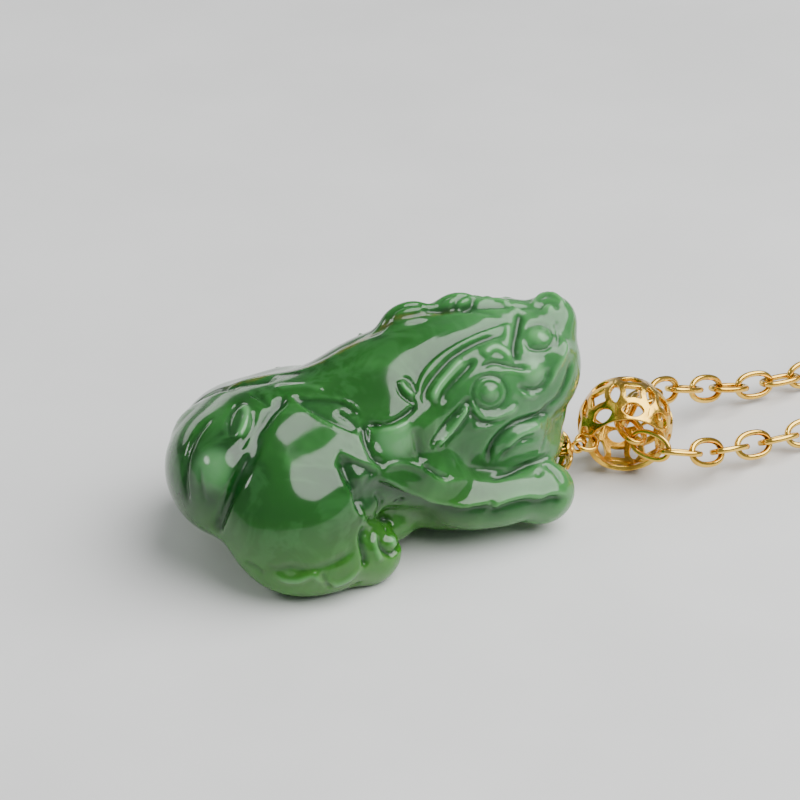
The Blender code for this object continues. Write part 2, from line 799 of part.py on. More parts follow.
def spaced(points, step):
    line = spline(np.array(points, float))
    length = np.linalg.norm(np.diff(line, axis=0), axis=1).sum()
    n = max(4, round(length / step))
    return walk(line, 0, length / n * 0.9999, n)


coil_c = np.array([COIL_CENTRE[0], COIL_CENTRE[1], COIL_HALF_HEIGHT + 0.05])
start = JOINTS[0] + unit(JOINTS[0] - JOINTS[1]) * 0.45
tube_front = tube(
    "cord_front",
    spaced([start, (38.0, -1.65, 1.1), (42.0, -1.6, 1.15), (46.0, -1.6, 1.4), (50.95, -1.6, 2.4)], 4.4),
)
eye_out = np.array(CLASP_EYE) + np.array([1.7, 0.0, 0.0])
tube_back = tube(
    "cord_back",
    spaced([eye_out, (51.0, 11.45, 1.6), (51.8, 11.25, 1.95), (52.55, 10.95, 2.35)], 1.2),
)


def coil():
    bm = bmesh.new()
    steps, sections = 48, 12
    rings = []
    for k in range(steps):
        w = 2 * math.pi * k / steps
        out = np.array([math.cos(w), math.sin(w), 0.0])
        rings.append(
            [
                bm.verts.new(
                    tuple(
                        (
                            coil_c
                            + out * (COIL_MEAN_RADIUS + COIL_HALF_WIDTH * math.cos(v))
                            + np.array([0, 0, COIL_HALF_HEIGHT * math.sin(v)])
                        )
                        * MM
                    )
                )
                for v in [2 * math.pi * j / sections for j in range(sections)]
            ]
        )
    for k in range(steps):
        r, s = rings[k], rings[(k + 1) % steps]
        for j in range(sections):
            bm.faces.new((r[j], r[(j + 1) % sections], s[(j + 1) % sections], s[j]))
    return bm_object("cord_coil", bm, GOLD)


cord_coil = coil()

# ---- origins of the moving pieces, on their joint axes ----
move_origin(jump_ring, np.array(EYE_CENTRE) * MM + np.array([EYE_RADIUS * MM, 0, 0]))
move_origin(bail_body, BAR * MM)
for i, o in enumerate(links):
    if i >= FRONT_COUNT:
        move_origin(o, JOINTS[i] * MM)
    else:
        move_origin(o, JOINTS[i + 1] * MM)
move_origin(end_ring, BACK_JOINTS[-1] * MM)

# ---- origin under the middle of the pendant and its open strands ----
STORED = ("cord_", "clasp_")
low, high = 1e9, -1e9
for o in bpy.data.objects:
    if o.type == "MESH" and not o.name.startswith(STORED):
        for v in o.data.vertices:
            x = v.co.x + o.location.x
            low, high = min(low, x), max(high, x)
SHIFT = (low + high) / 2
for o in bpy.data.objects:
    o.location.x -= SHIFT
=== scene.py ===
import math

import bmesh
import bpy
import numpy as np
from mathutils import Matrix, Vector


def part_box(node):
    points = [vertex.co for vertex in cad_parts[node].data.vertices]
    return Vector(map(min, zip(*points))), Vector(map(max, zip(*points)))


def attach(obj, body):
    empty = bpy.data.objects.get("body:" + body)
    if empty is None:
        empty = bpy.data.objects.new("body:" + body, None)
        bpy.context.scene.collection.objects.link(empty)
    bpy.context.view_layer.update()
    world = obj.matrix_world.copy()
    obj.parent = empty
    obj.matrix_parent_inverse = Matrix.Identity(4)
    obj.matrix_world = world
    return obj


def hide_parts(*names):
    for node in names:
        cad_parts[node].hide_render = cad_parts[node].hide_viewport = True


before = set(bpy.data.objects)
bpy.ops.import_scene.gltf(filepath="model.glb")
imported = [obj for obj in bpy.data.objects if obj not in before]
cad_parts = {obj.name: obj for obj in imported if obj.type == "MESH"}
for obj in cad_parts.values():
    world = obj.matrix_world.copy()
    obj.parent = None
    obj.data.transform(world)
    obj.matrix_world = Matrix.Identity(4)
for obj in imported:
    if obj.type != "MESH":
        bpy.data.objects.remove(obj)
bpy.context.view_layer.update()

MM = 0.001
BAIL_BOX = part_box("bail")
# the pendant's own millimetres start under the animal's middle; the bail tells how far the frame is moved along x
SHIFT = 15.34 - (BAIL_BOX[0][0] + BAIL_BOX[1][0]) / 2 / MM
OFF = np.array([SHIFT, 0.0, 0.0])


def row(p):
    """Pendant millimetres to row metres."""
    return (np.asarray(p, float) - OFF) * MM


def unit(v):
    v = np.array(v, float)
    return v / np.linalg.norm(v)


# ---------------------------------------------------------------- camera
YAW, ELEV = math.radians(22.0), math.radians(28.5)
DIST, WIDE = 175.0, 48.0
TARGET = np.array([0.0, 0.0, 8.1])
F = np.array([math.sin(YAW) * math.cos(ELEV), math.cos(YAW) * math.cos(ELEV), -math.sin(ELEV)])
R = np.array([math.cos(YAW), -math.sin(YAW), 0.0])
U = np.cross(R, F)
EYE = TARGET - F * DIST


def camera():
    data = bpy.data.cameras.new("camera")
    data.sensor_width = 36.0
    data.lens = 36.0 * DIST / WIDE
    data.clip_start, data.clip_end = 0.001, 10.0
    o = bpy.data.objects.new("camera", data)
    m = Matrix.Identity(4)
    for k, v in enumerate((R, U, -F)):
        for j in range(3):
            m[j][k] = v[j]
    for j in range(3):
        m[j][3] = row(EYE)[j]
    o.matrix_world = m
    bpy.context.scene.collection.objects.link(o)
    bpy.context.scene.camera = o


camera()

# ---------------------------------------------------------------- lines
def spline(points, per=40):
    points = np.asarray(points, float)
    out = []
    for i in range(len(points) - 1):
        p0 = points[max(i - 1, 0)]
        p1, p2 = points[i], points[i + 1]
        p3 = points[min(i + 2, len(points) - 1)]
        for k in range(per):
            t = k / per
            out.append(
                0.5
                * (
                    2 * p1
                    + (p2 - p0) * t
                    + (2 * p0 - 5 * p1 + 4 * p2 - p3) * t * t
                    + (3 * p1 - p0 - 3 * p2 + p3) * t**3
                )
            )
    out.append(points[-1])
    return np.array(out)


def walk(line, start, step, count):
    pts, i = [line[start]], start
    for _ in range(count):
        while i + 1 < len(line) and np.linalg.norm(line[i + 1] - pts[-1]) < step:
            i += 1
        a, b = line[i], line[min(i + 1, len(line) - 1)]
        lo, hi = 0.0, 1.0
        for _ in range(40):
            m = (lo + hi) / 2
            if np.linalg.norm(a + (b - a) * m - pts[-1]) < step:
                lo = m
            else:
                hi = m
        pts.append(a + (b - a) * lo)
    return pts


def level(d, roll):
    up = unit(np.array([0, 0, 1.0]) - d * d[2])
    side = np.cross(d, up)
    w = math.radians(roll)
    return math.cos(w) * side + math.sin(w) * up


def turned(v, d0, d1):
    axis = np.cross(d0, d1)
    s, c = np.linalg.norm(axis), d0 @ d1
    if s < 1e-9:
        return v
    k = axis / s
    return v * c + np.cross(k, v) * s + k * (k @ v) * (1 - c)


# ---------------------------------------------------------------- chain, the same line as the frame's links
LINK_PITCH, LINK_WIRE, LINK_WIDTH, LINK_PLAY = 2.02, 0.19, 1.90, 0.18
PATH_BACK = [
    (16.4, -3.1, 2.7),
    (15.2, -1.3, 2.95),
    (15.15, 0.15, 3.25),
    (16.7, 1.85, 3.6),
    (18.6, 2.9, 3.45),
    (20.6, 3.7, 2.85),
    (22.5, 4.25, 2.2),
    (24.3, 4.7, 1.65),
    (26.3, 4.95, 1.25),
    (28.3, 5.1, 1.1),
    (31.0, 5.25, 1.1),
    (34.0, 5.5, 1.1),
    (38.0, 6.0, 1.1),
]
PATH_FRONT = [
    (16.4, -3.1, 2.7),
    (18.4, -3.5, 2.35),
    (20.4, -2.95, 1.8),
    (22.4, -2.4, 1.4),
    (24.3, -2.05, 1.2),
    (26.3, -1.8, 1.1),
    (29.0, -1.6, 1.1),
    (32.0, -1.6, 1.1),
    (38.0, -1.7, 1.1),
]
FRONT_COUNT, INNER_COUNT, BACK_COUNT = 9, 3, 9
TOTAL = FRONT_COUNT + INNER_COUNT + BACK_COUNT
FRONT_JOINTS = walk(spline(PATH_FRONT), 0, LINK_PITCH, FRONT_COUNT)
BACK_JOINTS = walk(spline(PATH_BACK), 0, LINK_PITCH, INNER_COUNT + BACK_COUNT)
JOINTS = FRONT_JOINTS[::-1] + BACK_JOINTS[1:]


def crossings():
    d = [unit(JOINTS[i + 1] - JOINTS[i]) for i in range(TOTAL)]
    first, last = FRONT_COUNT - 2, FRONT_COUNT + INNER_COUNT + 1
    out = [None] * TOTAL
    for i in range(TOTAL):
        if i <= first:
            out[i] = level(d[i], 60 - 90 * ((first - i) % 2))
        elif i >= last:
            out[i] = level(d[i], 105 - 90 * ((i - last) % 2))
    v = out[first]
    carried = {}
    for i in range(first + 1, last + 1):
        v = turned(v, d[i - 1], d[i])
        v = unit(np.cross(d[i], v))
        carried[i] = v
    want = out[last]
    twist = math.atan2(np.cross(carried[last], want) @ d[last], carried[last] @ want)
    twist = (twist + math.pi / 2) % math.pi - math.pi / 2
    for i in range(first + 1, last):
        w = twist * (i - first) / (last - first)
        out[i] = carried[i] * math.cos(w) + np.cross(d[i], carried[i]) * math.sin(w)
    return out


ACROSS = crossings()


def link_into(bm, a, b, across, steps, sections, flat=1.0, squeeze=1.0):
    """One oval link; its wire is flattened a little on the link's two faces."""
    d = unit(b - a)
    across = unit(across - d * (across @ d))
    normal = np.cross(d, across)
    half_long = LINK_PITCH / 2 + LINK_WIRE + LINK_PLAY / 2
    half_wide = LINK_WIDTH / 2 - LINK_WIRE
    c = (a + b) / 2
    ang = 2 * math.pi * (np.arange(steps) + 0.5) / steps
    x, y = np.cos(ang), np.sin(ang)
    s = (np.abs(x) ** 2.3 + np.abs(y) ** 2.3) ** (-1 / 2.3)
    line = c + (half_long * s * x)[:, None] * d + (half_wide * s * y)[:, None] * across
    rings = []
    for k in range(steps):
        t = unit(line[(k + 1) % steps] - line[k - 1])
        out = np.cross(t, normal)
        ring = []
        for j in range(sections):
            w = 2 * math.pi * (j + 0.5) / sections
            cu, cv = math.cos(w), math.sin(w)
            # squarer than round, wider across the face than through it
            e = (abs(cu) ** 2.6 + abs(cv) ** 2.6) ** (-1 / 2.6)
            p = line[k] + out * (LINK_WIRE * squeeze * e * cu) + normal * (LINK_WIRE * flat * e * cv)
            ring.append(bm.verts.new(tuple(row(p))))
        rings.append(ring)
    for k in range(steps):
        r, q = rings[k], rings[(k + 1) % steps]
        for j in range(sections):
            bm.faces.new((r[j], r[(j + 1) % sections], q[(j + 1) % sections], q[j]))


def finish_mesh(name, bm, mat, smooth=True):
    bmesh.ops.recalc_face_normals(bm, faces=bm.faces)
    mesh = bpy.data.meshes.new(name)
    bm.to_mesh(mesh)
    bm.free()
    mesh.materials.append(mat)
    mesh.polygons.foreach_set("use_smooth", [smooth] * len(mesh.polygons))
    o = bpy.data.objects.new(name, mesh)
    bpy.context.scene.collection.objects.link(o)
    return o


# ---------------------------------------------------------------- materials
def tree_of(name):
    m = bpy.data.materials.new(name)
    m.use_nodes = True
    t = m.node_tree
    return m, t, t.nodes["Principled BSDF"]


def node(t, kind, **values):
    n = t.nodes.new(kind)
    for k, v in values.items():
        if k in n.inputs:
            n.inputs[k].default_value = v
        else:
            setattr(n, k, v)
    return n


def noise(t, coords, scale, detail=4.0, rough=0.55, distort=0.0):
    n = node(t, "ShaderNodeTexNoise", Scale=scale, Detail=detail, Roughness=rough, Distortion=distort)
    t.links.new(coords, n.inputs["Vector"])
    return n


def ramp(t, source, stops, mode="EASE"):
    n = t.nodes.new("ShaderNodeValToRGB")
    n.color_ramp.interpolation = mode
    while len(n.color_ramp.elements) < len(stops):
        n.color_ramp.elements.new(0.5)
    for e, (p, c) in zip(n.color_ramp.elements, stops):
        e.position = p
        e.color = (*c, 1) if len(c) == 3 else (c[0], c[0], c[0], 1)
    t.links.new(source, n.inputs["Fac"])
    return n


def mixed(t, fac, a, b, blend="MIX"):
    n = node(t, "ShaderNodeMix", data_type="RGBA", blend_type=blend)
    for k, v in (("Factor", fac), ("A", a), ("B", b)):
        socket = [i for i in n.inputs if i.name == k and (i.type == ("VALUE" if k == "Factor" else "RGBA"))][0]
        if hasattr(v, "is_output"):
            t.links.new(v, socket)
        else:
            socket.default_value = v if k == "Factor" else (*v, 1)
    return [o for o in n.outputs if o.type == "RGBA"][0]


HEAD_FROM = float(row(np.array([0.5, 0.0, 0.0]))[0])
HEAD_TO = float(row(np.array([5.5, 0.0, 0.0]))[0])


def jade_material():
    m, t, p = tree_of("jade_translucent")
    geo = t.nodes.new("ShaderNodeTexCoord")
    co = geo.outputs["Object"]
    # clouds of paler and deeper stone, long soft veins, fine specks
    cloud = noise(t, co, 150.0, 3.0, 0.5, 0.6)
    vein = noise(t, co, 260.0, 3.0, 0.55, 1.2)
    speck = noise(t, co, 3200.0, 2.0, 0.5)
    body = ramp(t, cloud.outputs["Fac"], [(0.30, (0.005, 0.052, 0.006)), (0.50, (0.014, 0.112, 0.013)), (0.72, (0.040, 0.20, 0.038))])
    veins = ramp(t, vein.outputs["Fac"], [(0.46, (0, 0, 0)), (0.57, (0.22, 0.22, 0.22)), (0.70, (0, 0, 0))])
    col = mixed(t, veins.outputs["Color"], body.outputs["Color"], (0.080, 0.30, 0.085))
    # painted glow: the low parts run to yellow green, standing in for light coming through the thin stone from below
    xyz = t.nodes.new("ShaderNodeSeparateXYZ")
    t.links.new(co, xyz.inputs[0])
    low = node(t, "ShaderNodeMapRange", clamp=True)
    for k, v in (("From Min", 0.0062), ("From Max", 0.0008), ("To Min", 0.0), ("To Max", 0.55)):
        low.inputs[k].default_value = v
    t.links.new(xyz.outputs["Z"], low.inputs["Value"])
    col = mixed(t, low.outputs["Result"], col, (0.090, 0.32, 0.018))
    # the head and the forefeet are coloured paler and milkier than the back, rising along x
    pale_end = node(t, "ShaderNodeMapRange", clamp=True)
    for k, v in (("From Min", HEAD_FROM), ("From Max", HEAD_TO), ("To Min", 0.0), ("To Max", 0.62)):
        pale_end.inputs[k].default_value = v
    t.links.new(xyz.outputs["X"], pale_end.inputs["Value"])
    col = mixed(t, pale_end.outputs["Result"], col, (0.092, 0.29, 0.105))
    # russet skin of the raw stone left along the back
    skin = t.nodes.new("ShaderNodeAttribute")
    skin.attribute_name = "skin"
    patch = noise(t, co, 900.0, 4.0, 0.6, 0.8)
    band = node(t, "ShaderNodeMath", operation="MULTIPLY")
    t.links.new(skin.outputs["Fac"], band.inputs[0])
    t.links.new(patch.outputs["Fac"], band.inputs[1])
    band_ramp = ramp(t, band.outputs[0], [(0.26, (0, 0, 0)), (0.62, (0.62, 0.62, 0.62))])
    col = mixed(t, band_ramp.outputs["Color"], col, (0.17, 0.13, 0.018))
    # painted glow: thin raised edges are coloured pale and milky, standing in for the light they let through
    edge = t.nodes.new("ShaderNodeAttribute")
    edge.attribute_name = "relief"
    painted_edge_glow = ramp(t, edge.outputs["Fac"], [(0.54, (0, 0, 0)), (0.86, (0.75, 0.75, 0.75))])
    col = mixed(t, painted_edge_glow.outputs["Color"], col, (0.17, 0.42, 0.18))
    # painted shade: the carved cuts are coloured darker, standing in for the shadow in them; the same mask also
    # dulls the polish there
    cut_shade_and_dull = ramp(t, edge.outputs["Fac"], [(0.12, (0.75, 0.75, 0.75)), (0.46, (0, 0, 0))])
    col = mixed(t, cut_shade_and_dull.outputs["Color"], col, (0.008, 0.075, 0.012))
    t.links.new(col, p.inputs["Base Color"])
    p.inputs["Subsurface Weight"].default_value = 0.75
    p.inputs["Transmission Weight"].default_value = 0.22
    p.inputs["Subsurface Radius"].default_value = (0.75, 1.6, 0.75)
    p.inputs["Subsurface Scale"].default_value = 0.0015
    p.inputs["Subsurface Anisotropy"].default_value = 0.2
    p.inputs["IOR"].default_value = 1.52
    p.inputs["Coat Weight"].default_value = 0.0
    p.inputs["Coat Roughness"].default_value = 0.03
    p.inputs["Coat IOR"].default_value = 1.6
    # hand polish: glossy, a little duller in the cuts
    polish = noise(t, co, 600.0, 3.0)
    rough = ramp(t, polish.outputs["Fac"], [(0.35, (0.09,)), (0.75, (0.15,))])
    dull = mixed(t, cut_shade_and_dull.outputs["Color"], rough.outputs["Color"], (0.24, 0.24, 0.24))
    t.links.new(dull, p.inputs["Roughness"])
    wave = noise(t, co, 380.0, 2.0, 0.4)
    bump = node(t, "ShaderNodeBump", Strength=0.10, Distance=0.00025)
    t.links.new(wave.outputs["Fac"], bump.inputs["Height"])
    fine = node(t, "ShaderNodeBump", Strength=0.03, Distance=0.00004)
    t.links.new(speck.outputs["Fac"], fine.inputs["Height"])
    t.links.new(bump.outputs["Normal"], fine.inputs["Normal"])
    t.links.new(fine.outputs["Normal"], p.inputs["Normal"])
    return m


def gold_material(name, colour, dark, rough_low, rough_high, bump_size, scale):
    m, t, p = tree_of(name)
    co = t.nodes.new("ShaderNodeTexCoord").outputs["Object"]
    tone = noise(t, co, scale * 0.35, 3.0)
    col = ramp(t, tone.outputs["Fac"], [(0.30, dark), (0.62, colour)])
    # finest scratches left by the polishing mop
    stretch = node(t, "ShaderNodeMapping")
    stretch.inputs["Scale"].default_value = (1.0, 6.0, 2.5)
    t.links.new(co, stretch.inputs["Vector"])
    hair = noise(t, stretch.outputs["Vector"], scale * 3.0, 3.0, 0.6)
    r = ramp(t, hair.outputs["Fac"], [(0.35, (rough_low,)), (0.70, (rough_high,))])
    t.links.new(r.outputs["Color"], p.inputs["Roughness"])
    # painted shade: the colour is darkened a little in the corners found by ambient occlusion
    ao = node(t, "ShaderNodeAmbientOcclusion", Distance=0.0006, samples=4)
    shade = ramp(t, ao.outputs["AO"], [(0.25, (0.45, 0.45, 0.45)), (0.75, (1, 1, 1))])
    col2 = mixed(t, 1.0, col.outputs["Color"], shade.outputs["Color"], "MULTIPLY")
    t.links.new(col2, p.inputs["Base Color"])
    p.inputs["Metallic"].default_value = 1.0
    b = node(t, "ShaderNodeBump", Strength=0.25, Distance=bump_size)
    lump = noise(t, co, scale, 2.0, 0.5)
    t.links.new(lump.outputs["Fac"], b.inputs["Height"])
    t.links.new(b.outputs["Normal"], p.inputs["Normal"])
    return m


gold = gold_material("gold_polished", (0.89, 0.575, 0.11), (0.72, 0.40, 0.05), 0.10, 0.20, 0.00003, 1800.0)
gold_cast = gold_material("gold_cast", (0.88, 0.56, 0.09), (0.56, 0.29, 0.03), 0.14, 0.30, 0.00005, 2600.0)
jade = jade_material()

# stored part of the chain: out of view, wound into a coil
COIL = np.array([64.0, 3.0])


EYE_RIM = 48.95  # where the last link hangs in the clasp's eye


def stored_line():
    start = JOINTS[0] + unit(JOINTS[0] - JOINTS[1]) * 0.05
    pts = [start, (38.0, -1.65, 1.1), (42.0, -1.6, 1.15), (46.0, -1.65, 1.2), (49.6, -2.0, 1.2), (52.0, -2.9, 1.1)]
    keys = [  # turns, radius, height
        (0.0, 12.3, 1.0),
        (2.0, 8.5, 1.0),
        (2.5, 8.3, 1.9),
        (3.0, 8.5, 2.75),
        (5.0, 12.3, 2.8),
        (5.74, 12.3, 3.4),
    ]
    k = np.array(keys)
    n = 18
    total = k[-1, 0]
    for t in np.arange(0, total + 1e-6, 1 / n):
        w = math.radians(216) + 2 * math.pi * t
        r = np.interp(t, k[:, 0], k[:, 1])
        z = np.interp(t, k[:, 0], k[:, 2])
        pts.append((COIL[0] + r * math.cos(w), COIL[1] + r * math.sin(w), z))
    pts += [(54.6, 11.9, 2.9), (52.4, 11.4, 2.2), (50.3, 11.5, 1.5), (EYE_RIM, 11.5, 1.45)]
    return spline(pts, 10)


STORED = stored_line()


def stored_chain():
    length = np.linalg.norm(np.diff(STORED, axis=0), axis=1).sum()
    count = int(round(length / LINK_PITCH))
    # the links are all drawn out by the same hair's breadth, so that the last one reaches the clasp
    low, high = length / count * 0.985, length / count
    for _ in range(12):
        pitch = (low + high) / 2
        pts = walk(STORED, 0, pitch, count)
        if np.linalg.norm(pts[-1] - pts[-2]) < pitch * 0.9999:
            high = pitch
        else:
            low = pitch
    pts = walk(STORED, 0, low, count)
    v = ACROSS[0]
    d0 = unit(JOINTS[0] - JOINTS[1])
    ways = []
    for i in range(count):
        d = unit(pts[i + 1] - pts[i])
        v = unit(np.cross(d, turned(v, d0, d)))
        ways.append((d, v))
        d0 = d
    # the last link stands on edge in the clasp's flat eye, and the links before it share the twist
    d, v = ways[-1]
    upright = unit(np.array([0, 0, 1.0]) - d * d[2])
    twist = math.atan2(np.cross(v, upright) @ d, v @ upright)
    twist = (twist + math.pi / 2) % math.pi - math.pi / 2
    bm = bmesh.new()
    for i, (d, v) in enumerate(ways):
        a = twist * max(0.0, 1 - (count - 1 - i) / 60)
        link_into(bm, pts[i], pts[i + 1], v * math.cos(a) + np.cross(d, v) * math.sin(a), 14, 6)
    o = finish_mesh("chain_stored", bm, gold)
    return o, np.array(pts)


stored, stored_path = stored_chain()
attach(stored, "stored_chain")
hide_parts("cord_front", "cord_coil", "cord_back")
tuple(row(JOINTS[0]))
[tuple(row(p)) for p in stored_path]
#END_CORD

STONE_LOW, STONE_HIGH = (np.array(c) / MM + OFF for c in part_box("jade_body"))
# ---------------------------------------------------------------- carved stone
# name, centre, radii, (rx, ry, rz) degrees, mirrored across y = 0
MASSES = [
    ("trunk", (-2.0, 0, 6.2), (9.0, 5.0, 4.9), (0, 0, 0), False),
    ("rump", (-9.0, 0, 6.45), (5.8, 5.6, 4.0), (0, -9, 0), False),
    ("tail_root", (-12.0, -1.2, 6.0), (2.9, 3.7, 3.5), (0, 0, 0), False),
    ("haunch", (-8.6, -4.8, 4.3), (4.4, 3.5, 4.3), (0, 0, 0), True),
    ("thigh_top", (-5.0, -4.4, 6.6), (2.6, 2.2, 2.2), (0, 25, 0), True),
    ("shin", (-7.4, -5.9, 2.2), (3.9, 2.5, 2.3), (0, 0, 0), True),
    ("hind_paw", (-4.7, -6.1, 1.7), (2.15, 1.7, 2.0), (0, 0, 0), True),
    ("shoulder", (-1.8, -3.6, 8.0), (2.8, 1.9, 2.4), (0, 0, 0), True),
    ("belly", (-2.6, 0, 2.3), (3.6, 5.2, 2.5), (0, 0, 0), False),
    ("front_base", (3.6, 0, 2.6), (6.3, 5.8, 2.8), (0, 0, 0), False),
    ("fore_leg_upper", (0.0, -4.8, 5.0), (3.4, 1.5, 1.6), (0, 30, 0), True),
    ("fore_leg_lower", (4.4, -5.3, 3.0), (4.2, 1.5, 1.6), (0, 3, 0), True),
    ("fore_paw", (7.4, -4.6, 2.5), (2.1, 1.8, 2.0), (0, 0, 0), True),
    ("neck", (-0.6, 0, 9.0), (5.6, 4.0, 3.7), (0, -12, 0), False),
    ("head", (4.6, 0, 8.7), (5.2, 4.8, 4.4), (0, 0, 0), False),
    ("muzzle", (8.4, 0, 9.2), (3.1, 3.9, 3.7), (0, 0, 0), False),
    ("nose", (9.9, 0, 11.7), (1.5, 1.9, 1.6), (0, 0, 0), False),
    ("chest", (7.3, 0, 4.2), (3.3, 3.6, 2.1), (0, 0, 0), False),
    ("jaw", (8.0, 0, 6.1), (2.6, 3.4, 2.1), (0, 0, 0), False),
    ("curl_rear", (1.0, 1.6, 12.3), (1.9, 1.2, 1.5), (0, -10, 0), False),
    ("curl_front", (4.0, 1.5, 12.5), (1.9, 1.2, 1.4), (0, -10, 0), False),
    ("crest", (6.2, 0.6, 12.2), (2.0, 1.6, 1.0), (0, 0, 0), False),
]
MASSES += [
    ("flank", (-2.7, -4.5, 5.7), (2.7, 1.3, 1.35), (0, 24, 0), True),
    ("lower_lip", (7.2, -2.5, 4.9), (2.0, 1.6, 1.1), (0, 0, -8), True),
    ("cheek", (5.3, -3.6, 6.6), (2.7, 1.7, 1.9), (0, 8, 0), True),
    ("nose_bulb", (8.6, -2.5, 11.0), (1.15, 1.1, 1.1), (0, 0, 0), True),
]
PEG_Y, PEG_Z = -0.60, 2.79
# how softly a mass runs into the ones before it, millimetres
BLEND = {
    "fore_leg_upper": 1.3,
    "fore_leg_lower": 1.0,
    "rump": 1.6,
    "tail_root": 1.4,
    "haunch": 1.3,
    "thigh_top": 2.2,
    "shin": 1.2,
    "neck": 1.8,
    "head": 1.5,
    "muzzle": 1.4,
    "flank": 1.3,
    "cheek": 1.2,
    "lower_lip": 0.9,
    "crest": 1.0,
}


def turn(rx, ry, rz):
    m = Matrix.Rotation(math.radians(rz), 3, "Z") @ Matrix.Rotation(math.radians(ry), 3, "Y") @ Matrix.Rotation(math.radians(rx), 3, "X")
    return np.array(m, dtype=np.float32)


CELL = 0.13
LOW = np.array([-15.6, -9.3, -0.39], np.float32)
HIGH = np.array([12.2, 9.3, 14.6], np.float32)


def field():
    """Distance-like field of the smoothly joined masses on a regular grid."""
    n = np.ceil((HIGH - LOW) / CELL).astype(int) + 1
    axes = [LOW[k] + CELL * np.arange(n[k], dtype=np.float32) for k in range(3)]
    d = np.full(n, 3.0, np.float32)
    flip = np.diag([1, -1, 1]).astype(np.float32)
    for name, c, r, e, mirrored in MASSES:
        blend = BLEND.get(name, 0.62)
        t = turn(*e)
        sides = [(np.array(c, np.float32), t)]
        if mirrored:
            sides.append((np.array(c, np.float32) * (1, -1, 1), flip @ t @ flip))
        for c1, t1 in sides:
            reach = np.sqrt(((t1 * np.array(r, np.float32)) ** 2).sum(axis=1)) + 1.3
            lo = np.maximum(np.floor((c1 - reach - LOW) / CELL).astype(int), 0)
            hi = np.minimum(np.ceil((c1 + reach - LOW) / CELL).astype(int) + 1, n)
            x, y, z = (axes[k][lo[k] : hi[k]] - np.float32(c1[k]) for k in range(3))
            k0 = k1 = 0.0
            for j in range(3):
                q = x[:, None, None] * t1[0, j] + y[None, :, None] * t1[1, j] + z[None, None, :] * t1[2, j]
                q = q / np.float32(r[j])
                k0 = k0 + q * q
                k1 = k1 + (q / np.float32(r[j])) ** 2
            k0, k1 = np.sqrt(k0), np.sqrt(k1)
            new = k0 * (k0 - 1) / np.maximum(k1, 1e-6)
            old = d[lo[0] : hi[0], lo[1] : hi[1], lo[2] : hi[2]]
            h = np.clip(0.5 + 0.5 * (new - old) / blend, 0, 1)
            d[lo[0] : hi[0], lo[1] : hi[1], lo[2] : hi[2]] = new * (1 - h) + old * h - blend * h * (1 - h)
    x, y, z = axes[0][:, None, None], axes[1][None, :, None], axes[2][None, None, :]
    k0 = np.sqrt(((x - 11.5) / 1.9) ** 2 + ((y - PEG_Y) / 2.3) ** 2 + ((z - PEG_Z) / 2.3) ** 2)
    d = np.maximum(d, (1 - k0) * 1.9)
    pipe = np.maximum(np.sqrt((y - PEG_Y) ** 2 + (z - PEG_Z) ** 2) - 0.47, 6.6 - x)
    d = np.maximum(d, -pipe)
    return np.maximum(d, -z)


def surface(d):
    """Quads round the zero level of a grid, one vertex in each crossed cell."""
    s = d < 0
    n = np.array(d.shape)
    count = np.zeros(n - 1, np.int8)
    for a in (0, 1):
        for b in (0, 1):
            for c in (0, 1):
                count += s[a : n[0] - 1 + a, b : n[1] - 1 + b, c : n[2] - 1 + c]
    cells = np.argwhere((count > 0) & (count < 8))
    index = np.full(n - 1, -1, np.int64)
    index[tuple(cells.T)] = np.arange(len(cells))
    total = np.zeros((len(cells), 3), np.float64)
    hits = np.zeros(len(cells))
    for axis in range(3):
        other = [k for k in range(3) if k != axis]
        for a in (0, 1):
            for b in (0, 1):
                p = cells.copy()
                p[:, other[0]] += a
                p[:, other[1]] += b
                q = p.copy()
                q[:, axis] += 1
                d0, d1 = d[tuple(p.T)], d[tuple(q.T)]
                cross = (d0 < 0) != (d1 < 0)
                t = np.where(cross, d0 / np.where(cross, d0 - d1, 1), 0)
                pos = p.astype(np.float64)
                pos[:, axis] += t
                total += pos * cross[:, None]
                hits += cross
    verts = LOW + CELL * total / hits[:, None]
    faces = []
    for axis in range(3):
        o1, o2 = (axis + 1) % 3, (axis + 2) % 3
        lo = [slice(1, -1)] * 3
        lo[axis] = slice(0, n[axis] - 1)
        hi = list(lo)
        hi[axis] = slice(1, n[axis])
        s0, s1 = s[tuple(lo)], s[tuple(hi)]
        e = np.argwhere(s0 != s1)
        inside = s0[tuple(e.T)]
        start = np.array([l.start for l in lo])
        e = e + start
        quad = []
        for a, b in ((-1, -1), (0, -1), (0, 0), (-1, 0)):
            c = e.copy()
            c[:, o1] += a
            c[:, o2] += b
            quad.append(index[tuple(c.T)])
        quad = np.stack(quad, 1)
        quad[~inside] = quad[~inside][:, ::-1]
        faces.append(quad)
    return verts, np.concatenate(faces)


def vertex_normals(v, f):
    a, b, c, e = (v[f[:, k]] for k in range(4))
    fn = np.cross(c - a, e - b)
    n = np.zeros_like(v)
    for k in range(4):
        for j in range(3):
            n[:, j] += np.bincount(f[:, k], fn[:, j], len(v))
    return n / np.maximum(np.linalg.norm(n, axis=1), 1e-12)[:, None]


def smoothed(x, f, times, share):
    """Each value moved towards the mean of its neighbours along the quads."""
    i = np.concatenate([f[:, k] for k in range(4)] * 2)
    j = np.concatenate([f[:, (k + 1) % 4] for k in range(4)] + [f[:, k - 1] for k in range(4)])
    deg = np.bincount(i, minlength=len(x)).astype(float)
    x = x.copy()
    for _ in range(times):
        m = np.stack([np.bincount(i, x[j, k], len(x)) for k in range(x.shape[1])], 1) / deg[:, None]
        x = x * (1 - share) + m * share
    return x


